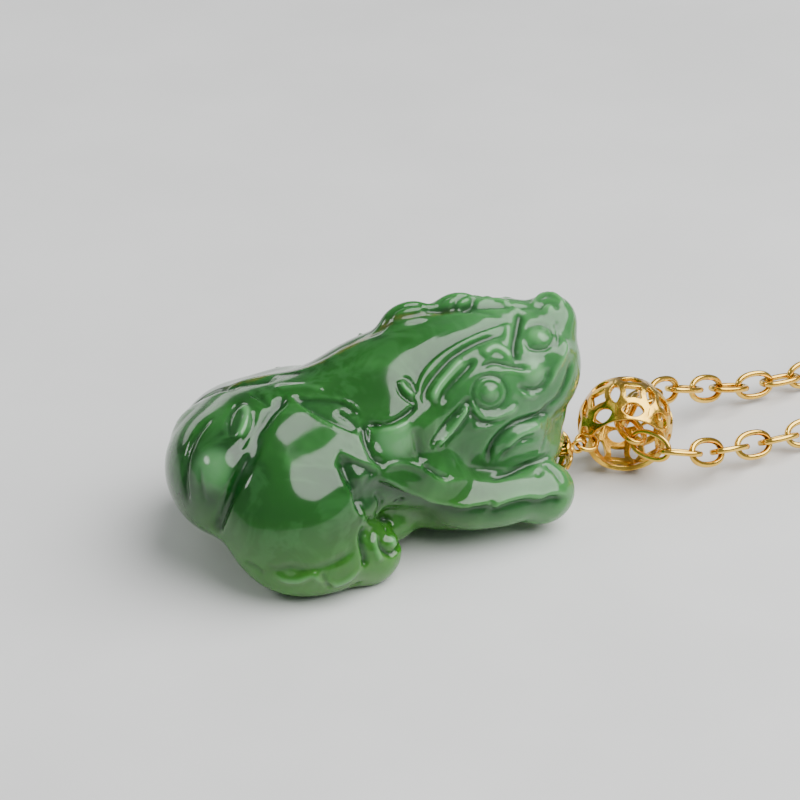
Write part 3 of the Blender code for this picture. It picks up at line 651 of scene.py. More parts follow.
class Carver:
    def __init__(self):
        from mathutils.bvhtree import BVHTree

        self.v, self.f = surface(field())
        self.v = smoothed(self.v, self.f, 3, 0.5)
        self.n = vertex_normals(self.v, self.f)
        self.n = smoothed(self.n, self.f, 2, 0.5)
        self.n /= np.linalg.norm(self.n, axis=1)[:, None]
        self.h = np.zeros(len(self.v))
        self.tint = np.zeros(len(self.v))
        self.tree = BVHTree.FromPolygons(self.v.tolist(), self.f.tolist())

    def at(self, u, w):
        """Point of the surface under a point of the view, (u, w) across and down in 0.0192 mm."""
        x, y = (140 + u / 3.125 - 400) * WIDE / 800, (400 - 260 - w / 3.125) * WIDE / 800
        through = TARGET + x * R + y * U
        ray = unit(through - EYE)
        hit = self.tree.ray_cast(Vector(EYE), Vector(ray))
        if hit[0] is None:
            near = self.tree.find_nearest(Vector(EYE + ray * (through - EYE) @ ray))
            return np.array(near[0])
        return np.array(hit[0])

    def onto(self, p):
        return np.array(self.tree.find_nearest(Vector(p))[0])

    def line(self, pts, closed=False):
        p = np.array([self.at(*q) for q in pts]) if len(pts[0]) == 2 else np.array(pts, float)
        if closed:
            p = np.vstack([p, p[:1]])
        return spline(p, 6) if len(p) > 2 else p

    def measure(self, line, reach):
        """Distance to the line, place along it, and side of it, for the vertices near."""
        lo, hi = line.min(0) - reach, line.max(0) + reach
        near = np.where(((self.v > lo) & (self.v < hi)).all(1))[0]
        v, n = self.v[near], self.n[near]
        best = np.full(len(near), 1e9)
        along = np.zeros(len(near))
        side = np.zeros(len(near))
        seg = np.linalg.norm(np.diff(line, axis=0), axis=1)
        at = np.concatenate([[0], np.cumsum(seg)])
        for k in range(len(line) - 1):
            if seg[k] < 1e-6:
                continue
            t = (line[k + 1] - line[k]) / seg[k]
            s = np.clip((v - line[k]) @ t, 0, seg[k])
            q = v - line[k] - s[:, None] * t
            dist = np.linalg.norm(q, axis=1)
            closer = dist < best
            best[closer] = dist[closer]
            along[closer] = ((at[k] + s) / at[-1])[closer]
            side[closer] = np.sign((q * np.cross(n, t)).sum(1))[closer]
        keep = best < reach
        return near[keep], best[keep], along[keep], side[keep]

    def carve(self, kind, pts, width, depth, ends=0.18, mirror=True, closed=False):
        """kind: groove, ridge, or step (the right-hand side of the line goes down)."""
        line = self.line(pts, closed)
        lines = [(line, 1.0)]
        if mirror and abs(line[:, 1]).min() > 1.1:
            other = np.array([self.onto(p * (1, -1, 1)) for p in line])
            lines.append((other, -1.0))
        for l, way in lines:
            idx, dist, along, side = self.measure(l, width * 4)
            fade = np.ones(len(idx))
            if not closed and ends > 0:
                fade = np.clip(np.minimum(along, 1 - along) / ends, 0, 1)
                fade = fade * fade * (3 - 2 * fade)
            if kind == "groove":
                self.h[idx] -= depth * fade * np.exp(-((dist / width) ** 2))
            elif kind == "ridge":
                self.h[idx] += depth * fade * np.exp(-((dist / width) ** 2))
            else:
                s = dist * side * way
                low = np.where(s < 0, -np.exp(s / (width * 1.5)) * (1 - np.exp(s / (width * 0.18))), 0.0)
                up = np.where(s >= 0, 0.25 * np.exp(-((s - width * 0.25) / (width * 0.35)) ** 2), 0.0)
                self.h[idx] += depth * fade * (low + up)

    def dome(self, centre, radius, height, stretch=(1, 1, 1), mirror=True, flat=False):
        """A round rise or dent round a point of the surface, in the view or in millimetres."""
        c = self.at(*centre) if len(centre) == 2 else self.onto(centre)
        for k in (c, c * (1, -1, 1)) if mirror and abs(c[1]) > 0.9 else (c,):
            q = (self.v - k) / np.array(stretch)
            t = np.clip(1 - (q * q).sum(1) / radius**2, 0, 1)
            self.h += height * (np.sqrt(t) if flat else t * t)

    def result(self):
        h = smoothed(self.h[:, None], self.f, 1, 0.35)[:, 0]
        h = np.clip(h, -1.1, 0.9)
        v = self.v + self.n * h[:, None]
        v = smoothed(v, self.f, 1, 0.25)
        v[:, 2] = np.where(v[:, 2] < 0.05, 0.0, v[:, 2])
        return v


def carved_stone():
    c = Carver()
    g, r, s = "groove", "ridge", "step"
    # back: the line where the flank meets the crest, and a faint spine
    c.carve(g, [(690, 243), (760, 196), (850, 165), (960, 152), (1060, 152), (1150, 180)], 0.22, 0.16, mirror=False)
    c.carve(r, [(250, 392), (430, 352), (560, 316), (690, 243)], 0.30, 0.10, mirror=False)
    # curls along the neck
    c.carve(g, [(898, 122), (900, 150), (915, 160)], 0.22, 0.30, mirror=False)
    c.carve(g, [(760, 190), (790, 150), (840, 132), (885, 135)], 0.16, 0.16, mirror=False)
    c.carve(g, [(975, 150), (985, 122), (1005, 104), (1030, 100)], 0.14, 0.22, mirror=False)
    c.carve(g, [(1040, 105), (1036, 128), (1000, 150)], 0.20, 0.28, mirror=False)
    c.carve(g, [(920, 140), (950, 112), (990, 98)], 0.14, 0.12, mirror=False)
    c.carve(r, [(1050, 118), (1110, 118), (1165, 140), (1195, 168)], 0.22, 0.18, mirror=False)
    # forehead groove with its two lips
    c.carve(g, [(1190, 150), (1182, 205), (1172, 262), (1174, 325)], 0.26, 0.42)
    c.carve(r, [(1150, 190), (1150, 230), (1145, 270)], 0.28, 0.14)
    c.carve(r, [(1210, 190), (1200, 250), (1205, 300)], 0.25, 0.12)
    # knob on the nose
    c.dome((1275, 140), 1.0, 0.22)
    c.carve(r, [(1226, 150), (1240, 116), (1275, 100), (1312, 116), (1326, 150)], 0.16, 0.22, mirror=False)
    c.carve(g, [(1246, 158), (1258, 134), (1278, 126), (1298, 136), (1306, 158)], 0.13, 0.26, mirror=False)
    # round knob below it, with its ring
    c.dome((1245, 236), 0.85, 0.30)
    c.carve(g, [(1200, 236), (1212, 205), (1245, 192), (1285, 208), (1295, 240), (1275, 270), (1235, 275), (1208, 262)], 0.14, 0.20, closed=True)
    c.carve(g, [(1300, 180), (1312, 240), (1292, 280)], 0.18, 0.22)
    c.carve(r, [(1330, 240), (1322, 300), (1290, 360), (1262, 400)], 0.24, 0.22)
    c.carve(g, [(1352, 300), (1335, 380), (1300, 440), (1250, 480)], 0.22, 0.26)
    # mane bands over the brow
    c.carve(s, [(1168, 190), (1100, 207), (1000, 250), (925, 300), (876, 360), (862, 430)], 0.30, 0.30)
    c.carve(r, [(905, 450), (925, 400), (970, 345), (1015, 300)], 0.36, 0.30)
    c.carve(g, [(884, 470), (892, 405), (945, 330), (1008, 275), (1090, 236), (1150, 228)], 0.20, 0.30)
    c.carve(g, [(930, 455), (960, 400), (1010, 345), (1050, 300)], 0.22, 0.26)
    # eye
    c.dome((1092, 413), 1.25, 0.12)
    c.carve(g, [(1036, 413), (1053, 374), (1092, 358), (1131, 374), (1147, 413), (1130, 452), (1092, 467), (1053, 452)], 0.11, 0.20, closed=True)
    c.carve(g, [(1060, 412), (1070, 390), (1092, 380), (1115, 390), (1124, 412), (1115, 435), (1092, 444), (1070, 435)], 0.09, 0.14, closed=True)
    c.dome((1092, 411), 0.44, 0.10)
    c.carve(r, [(1030, 428), (1048, 468), (1078, 492), (1120, 488), (1160, 465), (1185, 440)], 0.15, 0.20)
    c.carve(g, [(1022, 420), (1036, 480), (1070, 508), (1120, 504), (1165, 480)], 0.15, 0.22)
    c.carve(r, [(1028, 528), (1085, 520), (1145, 490), (1185, 450)], 0.15, 0.16)
    c.carve(r, [(1065, 300), (1105, 268), (1150, 290), (1165, 318)], 0.30, 0.22)
    c.carve(g, [(1060, 340), (1100, 318), (1160, 330), (1220, 342)], 0.16, 0.24)
    c.carve(r, [(1110, 350), (1160, 342), (1215, 352)], 0.12, 0.14)
    # snout beside the eye
    c.dome((1228, 340), 1.15, 0.34)
    c.carve(r, [(1192, 418), (1220, 426), (1245, 416)], 0.14, 0.16)
    c.carve(g, [(1180, 380), (1200, 400), (1245, 402), (1275, 370), (1282, 330)], 0.16, 0.24)
    # ear leaf
    c.carve(g, [(900, 592), (950, 520), (1005, 460), (1030, 420)], 0.16, 0.28)
    c.carve(r, [(920, 585), (965, 535), (1005, 485), (1025, 440)], 0.22, 0.34)
    c.carve(g, [(940, 582), (985, 535), (1020, 490), (1042, 470)], 0.16, 0.24)
    # small leaf at the side of the neck
    c.carve(r, [(806, 372), (822, 400), (852, 428)], 0.18, 0.26)
    c.carve(g, [(798, 372), (808, 412), (838, 438), (866, 440)], 0.12, 0.22)
    c.carve(g, [(812, 360), (842, 376), (864, 420)], 0.12, 0.20)
    # jaw and mouth
    c.carve(g, [(880, 640), (920, 668), (968, 688)], 0.16, 0.28)
    c.carve(g, [(1086, 648), (1092, 600), (1118, 556), (1172, 512), (1240, 488), (1300, 470)], 0.22, 0.42)
    c.carve(g, [(1112, 640), (1150, 600), (1205, 560), (1290, 540)], 0.20, 0.26)
    c.carve(r, [(1135, 600), (1190, 545), (1260, 510)], 0.28, 0.22)
    c.carve(g, [(1080, 684), (1150, 668), (1215, 640), (1290, 600)], 0.20, 0.30)
    c.carve(g, [(1180, 690), (1250, 668), (1330, 600)], 0.16, 0.16)
    c.carve(g, [(850, 520), (868, 590), (882, 640)], 0.30, 0.22)
    # wavy lip running along the foreleg
    c.carve(s, [(740, 668), (746, 688), (792, 712), (830, 732), (866, 744), (908, 762), (952, 770), (1004, 780), (1052, 772), (1092, 768), (1110, 782), (1134, 766), (1204, 746), (1256, 749), (1296, 736), (1345, 746)], 0.60, 0.52, ends=0.08)
    c.carve(g, [(770, 648), (850, 668), (930, 712), (1020, 728), (1120, 712), (1230, 700)], 0.60, 0.10)
    c.carve(r, [(742, 664), (790, 640), (850, 644), (905, 668), (962, 694), (1040, 684)], 0.20, 0.12)
    c.carve(g, [(1094, 752), (1104, 775), (1122, 792)], 0.12, 0.26)
    c.carve(g, [(1270, 640), (1300, 665), (1320, 700)], 0.16, 0.20)
    c.carve(g, [(1300, 632), (1340, 665), (1352, 700)], 0.14, 0.18)
    # from the thigh down into the hollow of the belly
    c.carve(s, [(610, 600), (670, 628), (712, 645), (740, 668)], 0.40, 0.40, ends=0.1)
    c.carve(g, [(622, 612), (650, 680), (682, 740), (690, 800)], 0.34, 0.50)
    c.carve(g, [(745, 735), (752, 775), (735, 810)], 0.18, 0.24)
    c.carve(r, [(668, 700), (690, 750), (690, 830)], 0.16, 0.20)
    c.dome((715, 740), 1.5, -0.50)
    # groove between rump and thigh
    c.carve(g, [(455, 420), (402, 468), (366, 530), (345, 600), (290, 700), (243, 800), (224, 860)], 0.32, 0.46, ends=0.08)
    c.carve(r, [(385, 500), (360, 560), (318, 650), (272, 745)], 0.20, 0.16)
    c.carve(g, [(330, 600), (300, 660), (262, 735)], 0.16, 0.18)
    # tail
    c.dome((212, 655), 2.1, 0.28)
    c.carve(g, [(218, 484), (164, 540), (132, 620), (126, 700), (142, 775)], 0.22, 0.20)
    c.carve(g, [(178, 640), (182, 700), (190, 760)], 0.16, 0.08)
    c.carve(r, [(300, 450), (322, 476), (310, 530), (284, 560)], 0.28, 0.26)
    c.carve(g, [(272, 560), (262, 510), (282, 455), (318, 436)], 0.18, 0.22)
    c.carve(g, [(345, 470), (338, 520), (300, 600)], 0.18, 0.20)
    c.carve(g, [(330, 412), (366, 428), (392, 458)], 0.18, 0.20)
    # leaf plate over the back of the thigh
    c.carve(s, [(455, 418), (530, 426), (610, 436), (660, 460), (688, 494)], 0.30, 0.26)
    c.carve(s, [(690, 552), (640, 532), (570, 500), (505, 458), (455, 418)], 0.30, 0.34)
    c.carve(r, [(400, 400), (500, 392), (575, 405)], 0.30, 0.12, mirror=False)
    c.carve(g, [(600, 470), (650, 500), (680, 535)], 0.16, 0.14)
    # shoulder knob
    c.dome((790, 560), 1.9, 0.30)
    c.carve(g, [(690, 502), (700, 560), (722, 612), (765, 650)], 0.20, 0.34)
    c.carve(g, [(690, 508), (760, 516), (828, 482), (868, 440)], 0.18, 0.36)
    c.carve(r, [(735, 520), (790, 525), (840, 500)], 0.22, 0.14)
    # hind foot
    c.carve(g, [(700, 816), (760, 812), (812, 842)], 0.20, 0.34)
    c.carve(g, [(735, 858), (750, 902), (780, 926), (806, 900), (822, 852)], 0.15, 0.34)
    c.dome((782, 885), 0.62, 0.26)
    c.carve(g, [(700, 832), (688, 880), (700, 940), (690, 975)], 0.22, 0.34)
    c.carve(r, [(730, 850), (728, 900), (750, 950)], 0.22, 0.20)
    c.carve(r, [(398, 980), (436, 1004), (486, 1008), (528, 990), (562, 1006), (606, 1020), (652, 998), (690, 950)], 0.24, 0.20)
    c.carve(g, [(556, 985), (572, 1010), (592, 1032)], 0.16, 0.28)
    c.carve(g, [(366, 952), (412, 976), (462, 968), (520, 978), (578, 962), (632, 936), (674, 896)], 0.30, 0.15)
    c.carve(g, [(655, 1000), (668, 1022), (690, 1035)], 0.18, 0.26)
    c.carve(g, [(312, 950), (340, 962), (380, 990)], 0.18, 0.18)
    v = c.result()
    print("stone box", v.min(0).round(2), v.max(0).round(2), len(v))
    lo, hi = STONE_LOW, STONE_HIGH
    for k in range(3):
        a, b = v[:, k].min(), v[:, k].max()
        if a < lo[k] or b > hi[k]:
            gain = min(1.0, (hi[k] - lo[k]) / (b - a))
            v[:, k] = (v[:, k] - a) * gain + max(a, lo[k]) if k == 0 else v[:, k] * min(1.0, hi[k] / b)
    mesh = bpy.data.meshes.new("jade_carving")
    mesh.from_pydata([tuple(row(p)) for p in v], [], c.f.tolist())
    mesh.update()
    mesh.polygons.foreach_set("use_smooth", [True] * len(mesh.polygons))
    mesh.materials.append(jade)
    o = bpy.data.objects.new("jade_carving", mesh)
    bpy.context.scene.collection.objects.link(o)
    a = mesh.attributes.new("relief", "FLOAT", "POINT")
    a.data.foreach_set("value", np.clip(0.5 + smoothed(c.h[:, None], c.f, 2, 0.5)[:, 0] * 1.25, 0, 1))
    spine = c.line([(215, 400), (300, 378), (430, 350), (560, 315), (690, 242), (760, 193), (850, 163), (960, 150), (1060, 150)])
    idx, dist, along, _ = c.measure(spine, 1.6)
    skin = np.zeros(len(v))
    skin[idx] = np.exp(-((dist / 0.42) ** 2)) * np.clip(np.minimum(along, 1 - along) / 0.1, 0, 1)
    a = mesh.attributes.new("skin", "FLOAT", "POINT")
    a.data.foreach_set("value", skin)
    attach(o, "pendant")
    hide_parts("jade_body")
    return o


stone = carved_stone()

# ---------------------------------------------------------------- floor and light
def floor():
    m, t, p = tree_of("floor_pale")
    co = t.nodes.new("ShaderNodeTexCoord").outputs["Object"]
    n = noise(t, co, 60.0, 3.0)
    c = ramp(t, n.outputs["Fac"], [(0.3, (0.66, 0.66, 0.65)), (0.7, (0.70, 0.70, 0.69))])
    t.links.new(c.outputs["Color"], p.inputs["Base Color"])
    p.inputs["Roughness"].default_value = 0.45
    bm = bmesh.new()
    # a sheet that turns up behind, so no horizon shows
    prof = [(-1.2, 0.0), (0.35, 0.0)]
    prof += [(0.35 + 0.25 * math.sin(a), 0.25 - 0.25 * math.cos(a)) for a in [math.radians(9 * k) for k in range(1, 11)]]
    prof += [(0.60, 1.2)]
    cols = []
    for x in (-1.4, 1.4):
        cols.append([bm.verts.new((x, y, z - 0.00002)) for y, z in prof])
    for k in range(len(prof) - 1):
        bm.faces.new((cols[0][k], cols[1][k], cols[1][k + 1], cols[0][k + 1]))
    o = finish_mesh("floor", bm, m)


def lamp(name, place, aim, size, power, colour=(1, 1, 1), shape="RECTANGLE"):
    data = bpy.data.lights.new(name, "AREA")
    data.shape = shape
    data.size, data.size_y = size
    data.energy = power
    data.color = colour
    o = bpy.data.objects.new(name, data)
    o.location = row(place)
    o.rotation_euler = (Vector(row(aim)) - Vector(row(place))).to_track_quat("-Z", "Y").to_euler()
    bpy.context.scene.collection.objects.link(o)


floor()
lamp("soft_key", (100, -66, 188), (-2, 0, 6), (0.33, 0.27), 1.30, shape="ELLIPSE")
lamp("soft_left", (-190, 40, 170), (-4, 0, 6), (0.10, 0.07), 0.14, shape="ELLIPSE")
lamp("soft_back", (-40, 230, 70), (-2, 0, 6), (0.24, 0.06), 0.09)
world = bpy.data.worlds.new("world")
world.use_nodes = True
world.node_tree.nodes["Background"].inputs["Color"].default_value = (0.82, 0.86, 0.90, 1)
world.node_tree.nodes["Background"].inputs["Strength"].default_value = 0.36
bpy.context.scene.world = world

# ---------------------------------------------------------------- gold pieces
def swept(bm, points, normals, radius, sections, closed, oval=1.0):
    """A tube along points; oval flattens it along the given normals."""
    n = len(points)
    rings = []
    for i in range(n):
        t = points[(i + 1) % n] - points[i - 1] if closed else points[min(i + 1, n - 1)] - points[max(i - 1, 0)]
        t = t / np.linalg.norm(t)
        a = normals[i] - t * (normals[i] @ t)
        a = a / np.linalg.norm(a)
        b = np.cross(t, a)
        rings.append(
            [
                bm.verts.new(tuple(row(points[i] + radius * (oval * math.cos(w) * a + math.sin(w) * b))))
                for w in [2 * math.pi * k / sections for k in range(sections)]
            ]
        )
    for i in range(n if closed else n - 1):
        r, s = rings[i], rings[(i + 1) % n]
        for k in range(sections):
            bm.faces.new((r[k], r[(k + 1) % sections], s[(k + 1) % sections], s[k]))
    if not closed:
        bm.faces.new(rings[0][::-1])
        bm.faces.new(rings[-1])


def settled(o, name, mat):
    """The object with its modifiers applied."""
    dg = bpy.context.evaluated_depsgraph_get()
    mesh = bpy.data.meshes.new_from_object(o.evaluated_get(dg))
    bpy.data.objects.remove(o, do_unlink=True)
    mesh.name = name
    mesh.materials.clear()
    mesh.materials.append(mat)
    mesh.polygons.foreach_set("use_smooth", [True] * len(mesh.polygons))
    new = bpy.data.objects.new(name, mesh)
    bpy.context.scene.collection.objects.link(new)
    return new


def cast(name, bm, mat, voxel, smooth=4, factor=0.5, share=None):
    """Rounds sharp cut edges the way a cast and tumbled piece is rounded."""
    o = finish_mesh(name + "_raw", bm, mat)
    r = o.modifiers.new("remesh", "REMESH")
    r.mode = "VOXEL"
    r.voxel_size = voxel * MM
    k = o.modifiers.new("smooth", "SMOOTH")
    k.factor = factor
    k.iterations = smooth
    if share:
        d = o.modifiers.new("decimate", "DECIMATE")
        d.ratio = share
    return settled(o, name, mat)


def set_on(o, body, *nodes):
    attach(o, body)
    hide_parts(*nodes)


def inside(poly, x, y):
    hit = False
    for i in range(len(poly)):
        (x0, y0), (x1, y1) = poly[i - 1], poly[i]
        if (y0 > y) != (y1 > y) and x < (x1 - x0) * (y - y0) / (y1 - y0) + x0:
            hit = not hit
    return hit


def pierced(outline, holes, extra=()):
    from mathutils.geometry import delaunay_2d_cdt

    verts, edges = [], []
    for loop in (outline, *holes):
        s = len(verts)
        verts += [Vector(p) for p in loop]
        edges += [(s + i, s + (i + 1) % len(loop)) for i in range(len(loop))]
    verts += [Vector(p) for p in extra]
    out = delaunay_2d_cdt(verts, edges, [], 0, 1e-7)
    co, faces = out[0], out[2]
    keep = []
    for f in faces:
        x = sum(co[i][0] for i in f) / len(f)
        y = sum(co[i][1] for i in f) / len(f)
        if inside(outline, x, y) and not any(inside(h, x, y) for h in holes):
            keep.append(tuple(f))
    return [(p[0], p[1]) for p in co], keep


def laid(cells, place, border):
    """Closed sheet of repeated cells; place(k, p, side) with side 0 outside and 1 inside."""
    bm = bmesh.new()
    for k, (co, faces) in enumerate(cells):
        used = sorted({i for f in faces for i in f})
        outer = {i: bm.verts.new(tuple(row(place(k, co[i], 0)))) for i in used}
        inner = {i: bm.verts.new(tuple(row(place(k, co[i], 1)))) for i in used}
        count = {}
        for f in faces:
            bm.faces.new([outer[i] for i in f])
            bm.faces.new([inner[i] for i in reversed(f)])
            for a, b in zip(f, f[1:] + f[:1]):
                count[(a, b)] = count.get((a, b), 0) + 1
        for a, b in count:
            joined = abs(abs(co[a][0]) - border) < 1e-6 and abs(abs(co[b][0]) - border) < 1e-6
            if (b, a) not in count and not joined:
                bm.faces.new((outer[b], outer[a], inner[a], inner[b]))
    bmesh.ops.remove_doubles(bm, verts=bm.verts, dist=1e-6)
    return bm


def lens(cx, cy, half_length, half_width, along_x, n=5):
    a, b = half_length, half_width
    rad = (a * a + b * b) / (2 * b)
    pts = []
    for side in (1, -1):
        for i in range(n):
            t = -1 + 2 * i / n
            x = t * a * side
            y = side * (math.sqrt(rad * rad - x * x) - (rad - b))
            pts.append((x, y))
    return [(cx + x, cy + y) if along_x else (cx + y, cy + x) for x, y in pts]


def coin_square(cx, cy, half, dish, n=3):
    corners = [(-half, -half), (half, -half), (half, half), (-half, half)]
    pts = []
    for i in range(4):
        (x0, y0), (x1, y1) = corners[i], corners[(i + 1) % 4]
        for k in range(n):
            t = k / n
            bow = dish * math.sin(math.pi * t)
            x, y = x0 + (x1 - x0) * t, y0 + (y1 - y0) * t
            m = math.hypot((x0 + x1) / 2, (y0 + y1) / 2)
            pts.append((cx + x - bow * (x0 + x1) / 2 / m, cy + y - bow * (y0 + y1) / 2 / m))
    return pts


BAIL_CENTRE, BAIL_RADIUS, BAIL_SHEET = np.array([15.34, 0.34, 3.12]), 3.0, 0.32
RIM = math.radians(38.6)
AX, DIP = math.radians(22.0), math.radians(17.5)
BAIL_AXIS = np.array([-math.sin(AX) * math.cos(DIP), -math.cos(AX) * math.cos(DIP), -math.sin(DIP)])
BAIL_E = unit(np.array([-1.0, 0, 0]) - BAIL_AXIS * (np.array([-1.0, 0, 0]) @ BAIL_AXIS))
BAIL_T = np.cross(BAIL_AXIS, BAIL_E)


def bail():
    coins = 8
    half = math.pi / coins
    u, v = half * BAIL_RADIUS, RIM * BAIL_RADIUS
    n = 14
    lens_v = 0.74
    side = lens(0, 0, lens_v + 0.08, 0.33, False, n)
    right = sorted([p for p in side if p[0] < -1e-9], key=lambda p: p[1])
    left = sorted([p for p in side if p[0] > 1e-9], key=lambda p: p[1])
    m = 20
    outline = [(-u, -v)] + [(-u + 2 * u * i / m, -v) for i in range(1, m)] + [(u, -v)]
    outline += [(u, -lens_v - 0.08)] + [(u + x, y) for x, y in right] + [(u, lens_v + 0.08)]
    outline += [(u, v)] + [(u - 2 * u * i / m, v) for i in range(1, m)] + [(-u, v)]
    outline += [(-u, lens_v + 0.08)] + [(-u + x, y) for x, y in reversed(left)] + [(-u, -lens_v - 0.08)]
    gap = v - 0.20
    holes = [
        coin_square(0, 0, 0.51, 0.05, 8),
        lens(0, gap - 0.46, 0.80, 0.46, True, n),
        lens(0, -gap + 0.46, 0.80, 0.46, True, n),
    ]
    extra = [
        (-u + 2 * u * (i + 0.5) / 22, -v + 2 * v * (j + 0.5) / 36)
        for i in range(22)
        for j in range(36)
        if all(min(math.hypot(-u + 2 * u * (i + 0.5) / 22 - q[0], -v + 2 * v * (j + 0.5) / 36 - q[1]) for q in h) > 0.05 for h in holes + [outline])
    ]
    extra = [q for q in extra if inside(outline, *q) and not any(inside(h, *q) for h in holes)]
    cell = pierced(outline, holes, extra)

    def place(k, p, side):
        a = p[0] / BAIL_RADIUS + 2 * half * k
        lat = p[1] / BAIL_RADIUS
        # every coin is a little crowned along its own ring
        ring = math.exp(-(((math.hypot(p[0], p[1]) - 0.86) / 0.22) ** 2))
        low = 0.045 * (1 - ring) * min(1.0, max(0.0, (v - 0.10 - abs(p[1])) / 0.15))
        r = BAIL_RADIUS - (BAIL_SHEET if side else low)
        return BAIL_CENTRE + r * (math.cos(lat) * (math.cos(a) * BAIL_E + math.sin(a) * BAIL_T) + math.sin(lat) * BAIL_AXIS)

    o = cast("bail_openwork", laid([cell] * coins, place, u), gold_cast, 0.04, 2, 0.5)
    # the rim is worn a little where the chain's inner link crosses it
    spot = np.array([5.235, -2.221, 3.616]) * MM
    push = np.array([0.749, 0.367, 0.552])
    for vert in o.data.vertices:
        away = np.linalg.norm(np.array(vert.co) - spot)
        if away < 0.9 * MM:
            vert.co = Vector(np.array(vert.co) + push * 0.11 * MM * math.exp(-((away / (0.36 * MM)) ** 2)))
    set_on(o, "bail", "bail")


def cap():
    petals, hole, tip = 6, 0.46, 1.45
    half = math.pi / petals
    notch = tip * 0.72

    def edge(w):
        t = abs(w) / half
        return tip - (tip - notch) * t**1.6

    n = 12
    outline = [(-half + 2 * half * i / n, hole) for i in range(n + 1)]
    outline += [(half - 2 * half * i / 24, edge(half - 2 * half * i / 24)) for i in range(25)]
    window = spline([(0.0, 0.72), (0.20, 0.90), (0.13, 1.06), (0.0, 1.20), (-0.13, 1.06), (-0.20, 0.90), (0.0, 0.72)], 5)[:-1]
    extra = [(-half + 2 * half * (i + 0.5) / 14, hole + (tip - hole) * (j + 0.5) / 16) for i in range(14) for j in range(16)]
    win = [tuple(q) for q in window]
    extra = [
        q
        for q in extra
        if inside(outline, *q) and not inside(win, *q) and min(math.hypot(q[0] - w[0], q[1] - w[1]) for w in win + outline) > 0.035
    ]
    cell = pierced(outline, [win], extra)

    def place(k, p, side):
        a = p[0] + 2 * half * k
        r = p[1]
        s = (r - hole) / (tip - hole)
        x = 11.07 - 0.60 * s * s - 0.20 * side
        # petal is cupped: raised along its middle, sunk between petals
        x -= 0.05 * (abs(p[0]) / half) ** 2 * (1 - side)
        return np.array([x, PEG_Y + r * math.sin(a), PEG_Z + r * math.cos(a)])

    o = cast("petal_cap_fine", laid([cell] * petals, place, half), gold_cast, 0.035, 2, 0.5)
    set_on(o, "pendant", "petal_cap")


def wire_ring(name, node_name, body, centre, normal, radius, wire, steps=72, sections=16):
    n = unit(normal)
    a = unit(np.cross(n, [0.3, 0.2, 1.0]))
    b = np.cross(n, a)
    bm = bmesh.new()
    pts = [centre + radius * (math.cos(w) * a + math.sin(w) * b) for w in [2 * math.pi * k / steps for k in range(steps)]]
    rings = []
    for k, p in enumerate(pts):
        out = unit(p - centre)
        # the drawn wire is very slightly flat inside, and pinched at its soldered joint
        w0 = wire * (1 - 0.05 * math.exp(-(((k - steps / 2) / 1.2) ** 2)))
        ring = []
        for j in range(sections):
            w = 2 * math.pi * j / sections
            cu, cv = math.cos(w), math.sin(w)
            ring.append(bm.verts.new(tuple(row(p + w0 * ((cu if cu > 0 else 0.92 * cu) * out + cv * n)))))
        rings.append(ring)
    for k in range(steps):
        r, s = rings[k], rings[(k + 1) % steps]
        for j in range(sections):
            bm.faces.new((r[j], r[(j + 1) % sections], s[(j + 1) % sections], s[j]))
    o = finish_mesh(name, bm, gold)
    set_on(o, body, node_name)


EYE_LOOP = np.array([11.69, -0.60, 2.79])


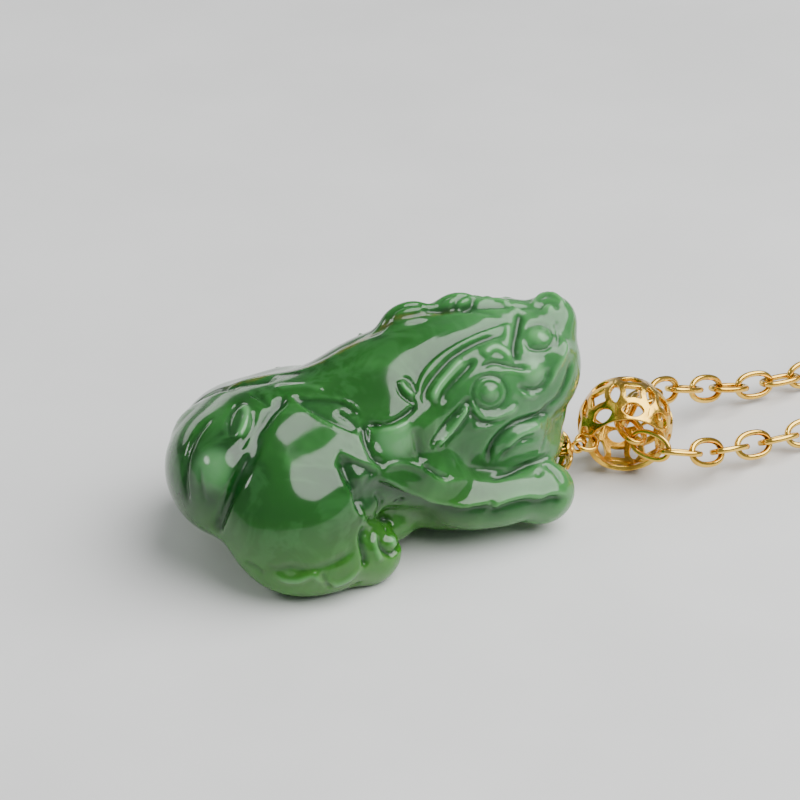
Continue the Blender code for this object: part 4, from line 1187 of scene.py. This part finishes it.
def peg():
    """Turned pin with its eye; the shaft is ringed with grooves and tapers under the eye."""
    bm = bmesh.new()
    steps, r0 = 64, 0.40
    loop = [EYE_LOOP + r0 * np.array([math.cos(w), 0, math.sin(w)]) for w in [2 * math.pi * k / steps for k in range(steps)]]
    swept(bm, loop, [np.array([0, 1.0, 0])] * steps, 0.12, 18, True)
    profile = [(6.73, 0.30), (6.80, 0.38), (7.0, 0.395)]
    x = 7.1
    while x < 9.4:
        profile += [(x, 0.395), (x + 0.09, 0.355), (x + 0.18, 0.395)]
        x += 0.30
    profile += [(9.6, 0.395), (10.9, 0.395), (11.05, 0.38), (11.16, 0.30), (11.24, 0.22), (11.27, 0.12)]
    rings = []
    for px, pr in profile:
        rings.append([bm.verts.new(tuple(row((px, PEG_Y + pr * math.cos(w), PEG_Z + pr * math.sin(w))))) for w in [2 * math.pi * k / 32 for k in range(32)]])
    for r, s in zip(rings, rings[1:]):
        for k in range(32):
            bm.faces.new((r[k], r[(k + 1) % 32], s[(k + 1) % 32], s[k]))
    bm.faces.new(rings[0][::-1])
    bm.faces.new(rings[-1])
    o = finish_mesh("bail_peg_fine", bm, gold)
    set_on(o, "pendant", "bail_peg")


def chain_links():
    for i in range(TOTAL):
        if i < FRONT_COUNT:
            name = "chain_front_%02d" % (FRONT_COUNT - i)
        elif i < FRONT_COUNT + INNER_COUNT:
            name = "chain_inner_%02d" % (i - FRONT_COUNT + 1)
        else:
            name = "chain_back_%02d" % (i - FRONT_COUNT - INNER_COUNT + 1)
        bm = bmesh.new()
        # the link in the bail and the one beside it are drawn a little finer, for room to swing
        fine = {"chain_inner_01": 0.84, "chain_front_01": 0.90}.get(name, 0.97)
        link_into(bm, JOINTS[i], JOINTS[i + 1], ACROSS[i], 44, 14, fine, fine)
        o = finish_mesh(name + "_link", bm, gold)
        set_on(o, name, name)


bail()
cap()
peg()
BAR_LAT = math.radians(38.6 - 1.9)
BAR = BAIL_CENTRE + (BAIL_RADIUS - BAIL_SHEET / 2) * (math.cos(BAR_LAT) * BAIL_E + math.sin(BAR_LAT) * BAIL_AXIS)
RING_DIR = unit(BAR - EYE_LOOP)
RING_NORMAL = unit(BAIL_T - RING_DIR * (BAIL_T @ RING_DIR))
wire_ring("jump_ring_wire", "jump_ring", "jump_ring", EYE_LOOP + 0.65 * RING_DIR, RING_NORMAL, 0.65, 0.14)
d_end = unit(BACK_JOINTS[-1] - BACK_JOINTS[-2])
RISE = math.radians(31)
end_centre = BACK_JOINTS[-1] - d_end * 0.42 + 1.7 * (math.cos(RISE) * d_end + math.sin(RISE) * np.array([0, 0, 1.0]))
wire_ring("end_ring_wire", "end_ring", "end_ring", end_centre, np.cross(d_end, [0, 0, 1.0]), 1.7, 0.26, 96, 20)
chain_links()

# the clasp keeps its engineered shape and takes the castings' gold
for name, metal in (("clasp_body", gold_cast), ("clasp_lever", gold_cast), ("clasp_pin", gold)):
    part = bpy.data.objects[name]
    part.data.materials.clear()
    part.data.materials.append(metal)
    for face in part.data.polygons:
        face.material_index = 0
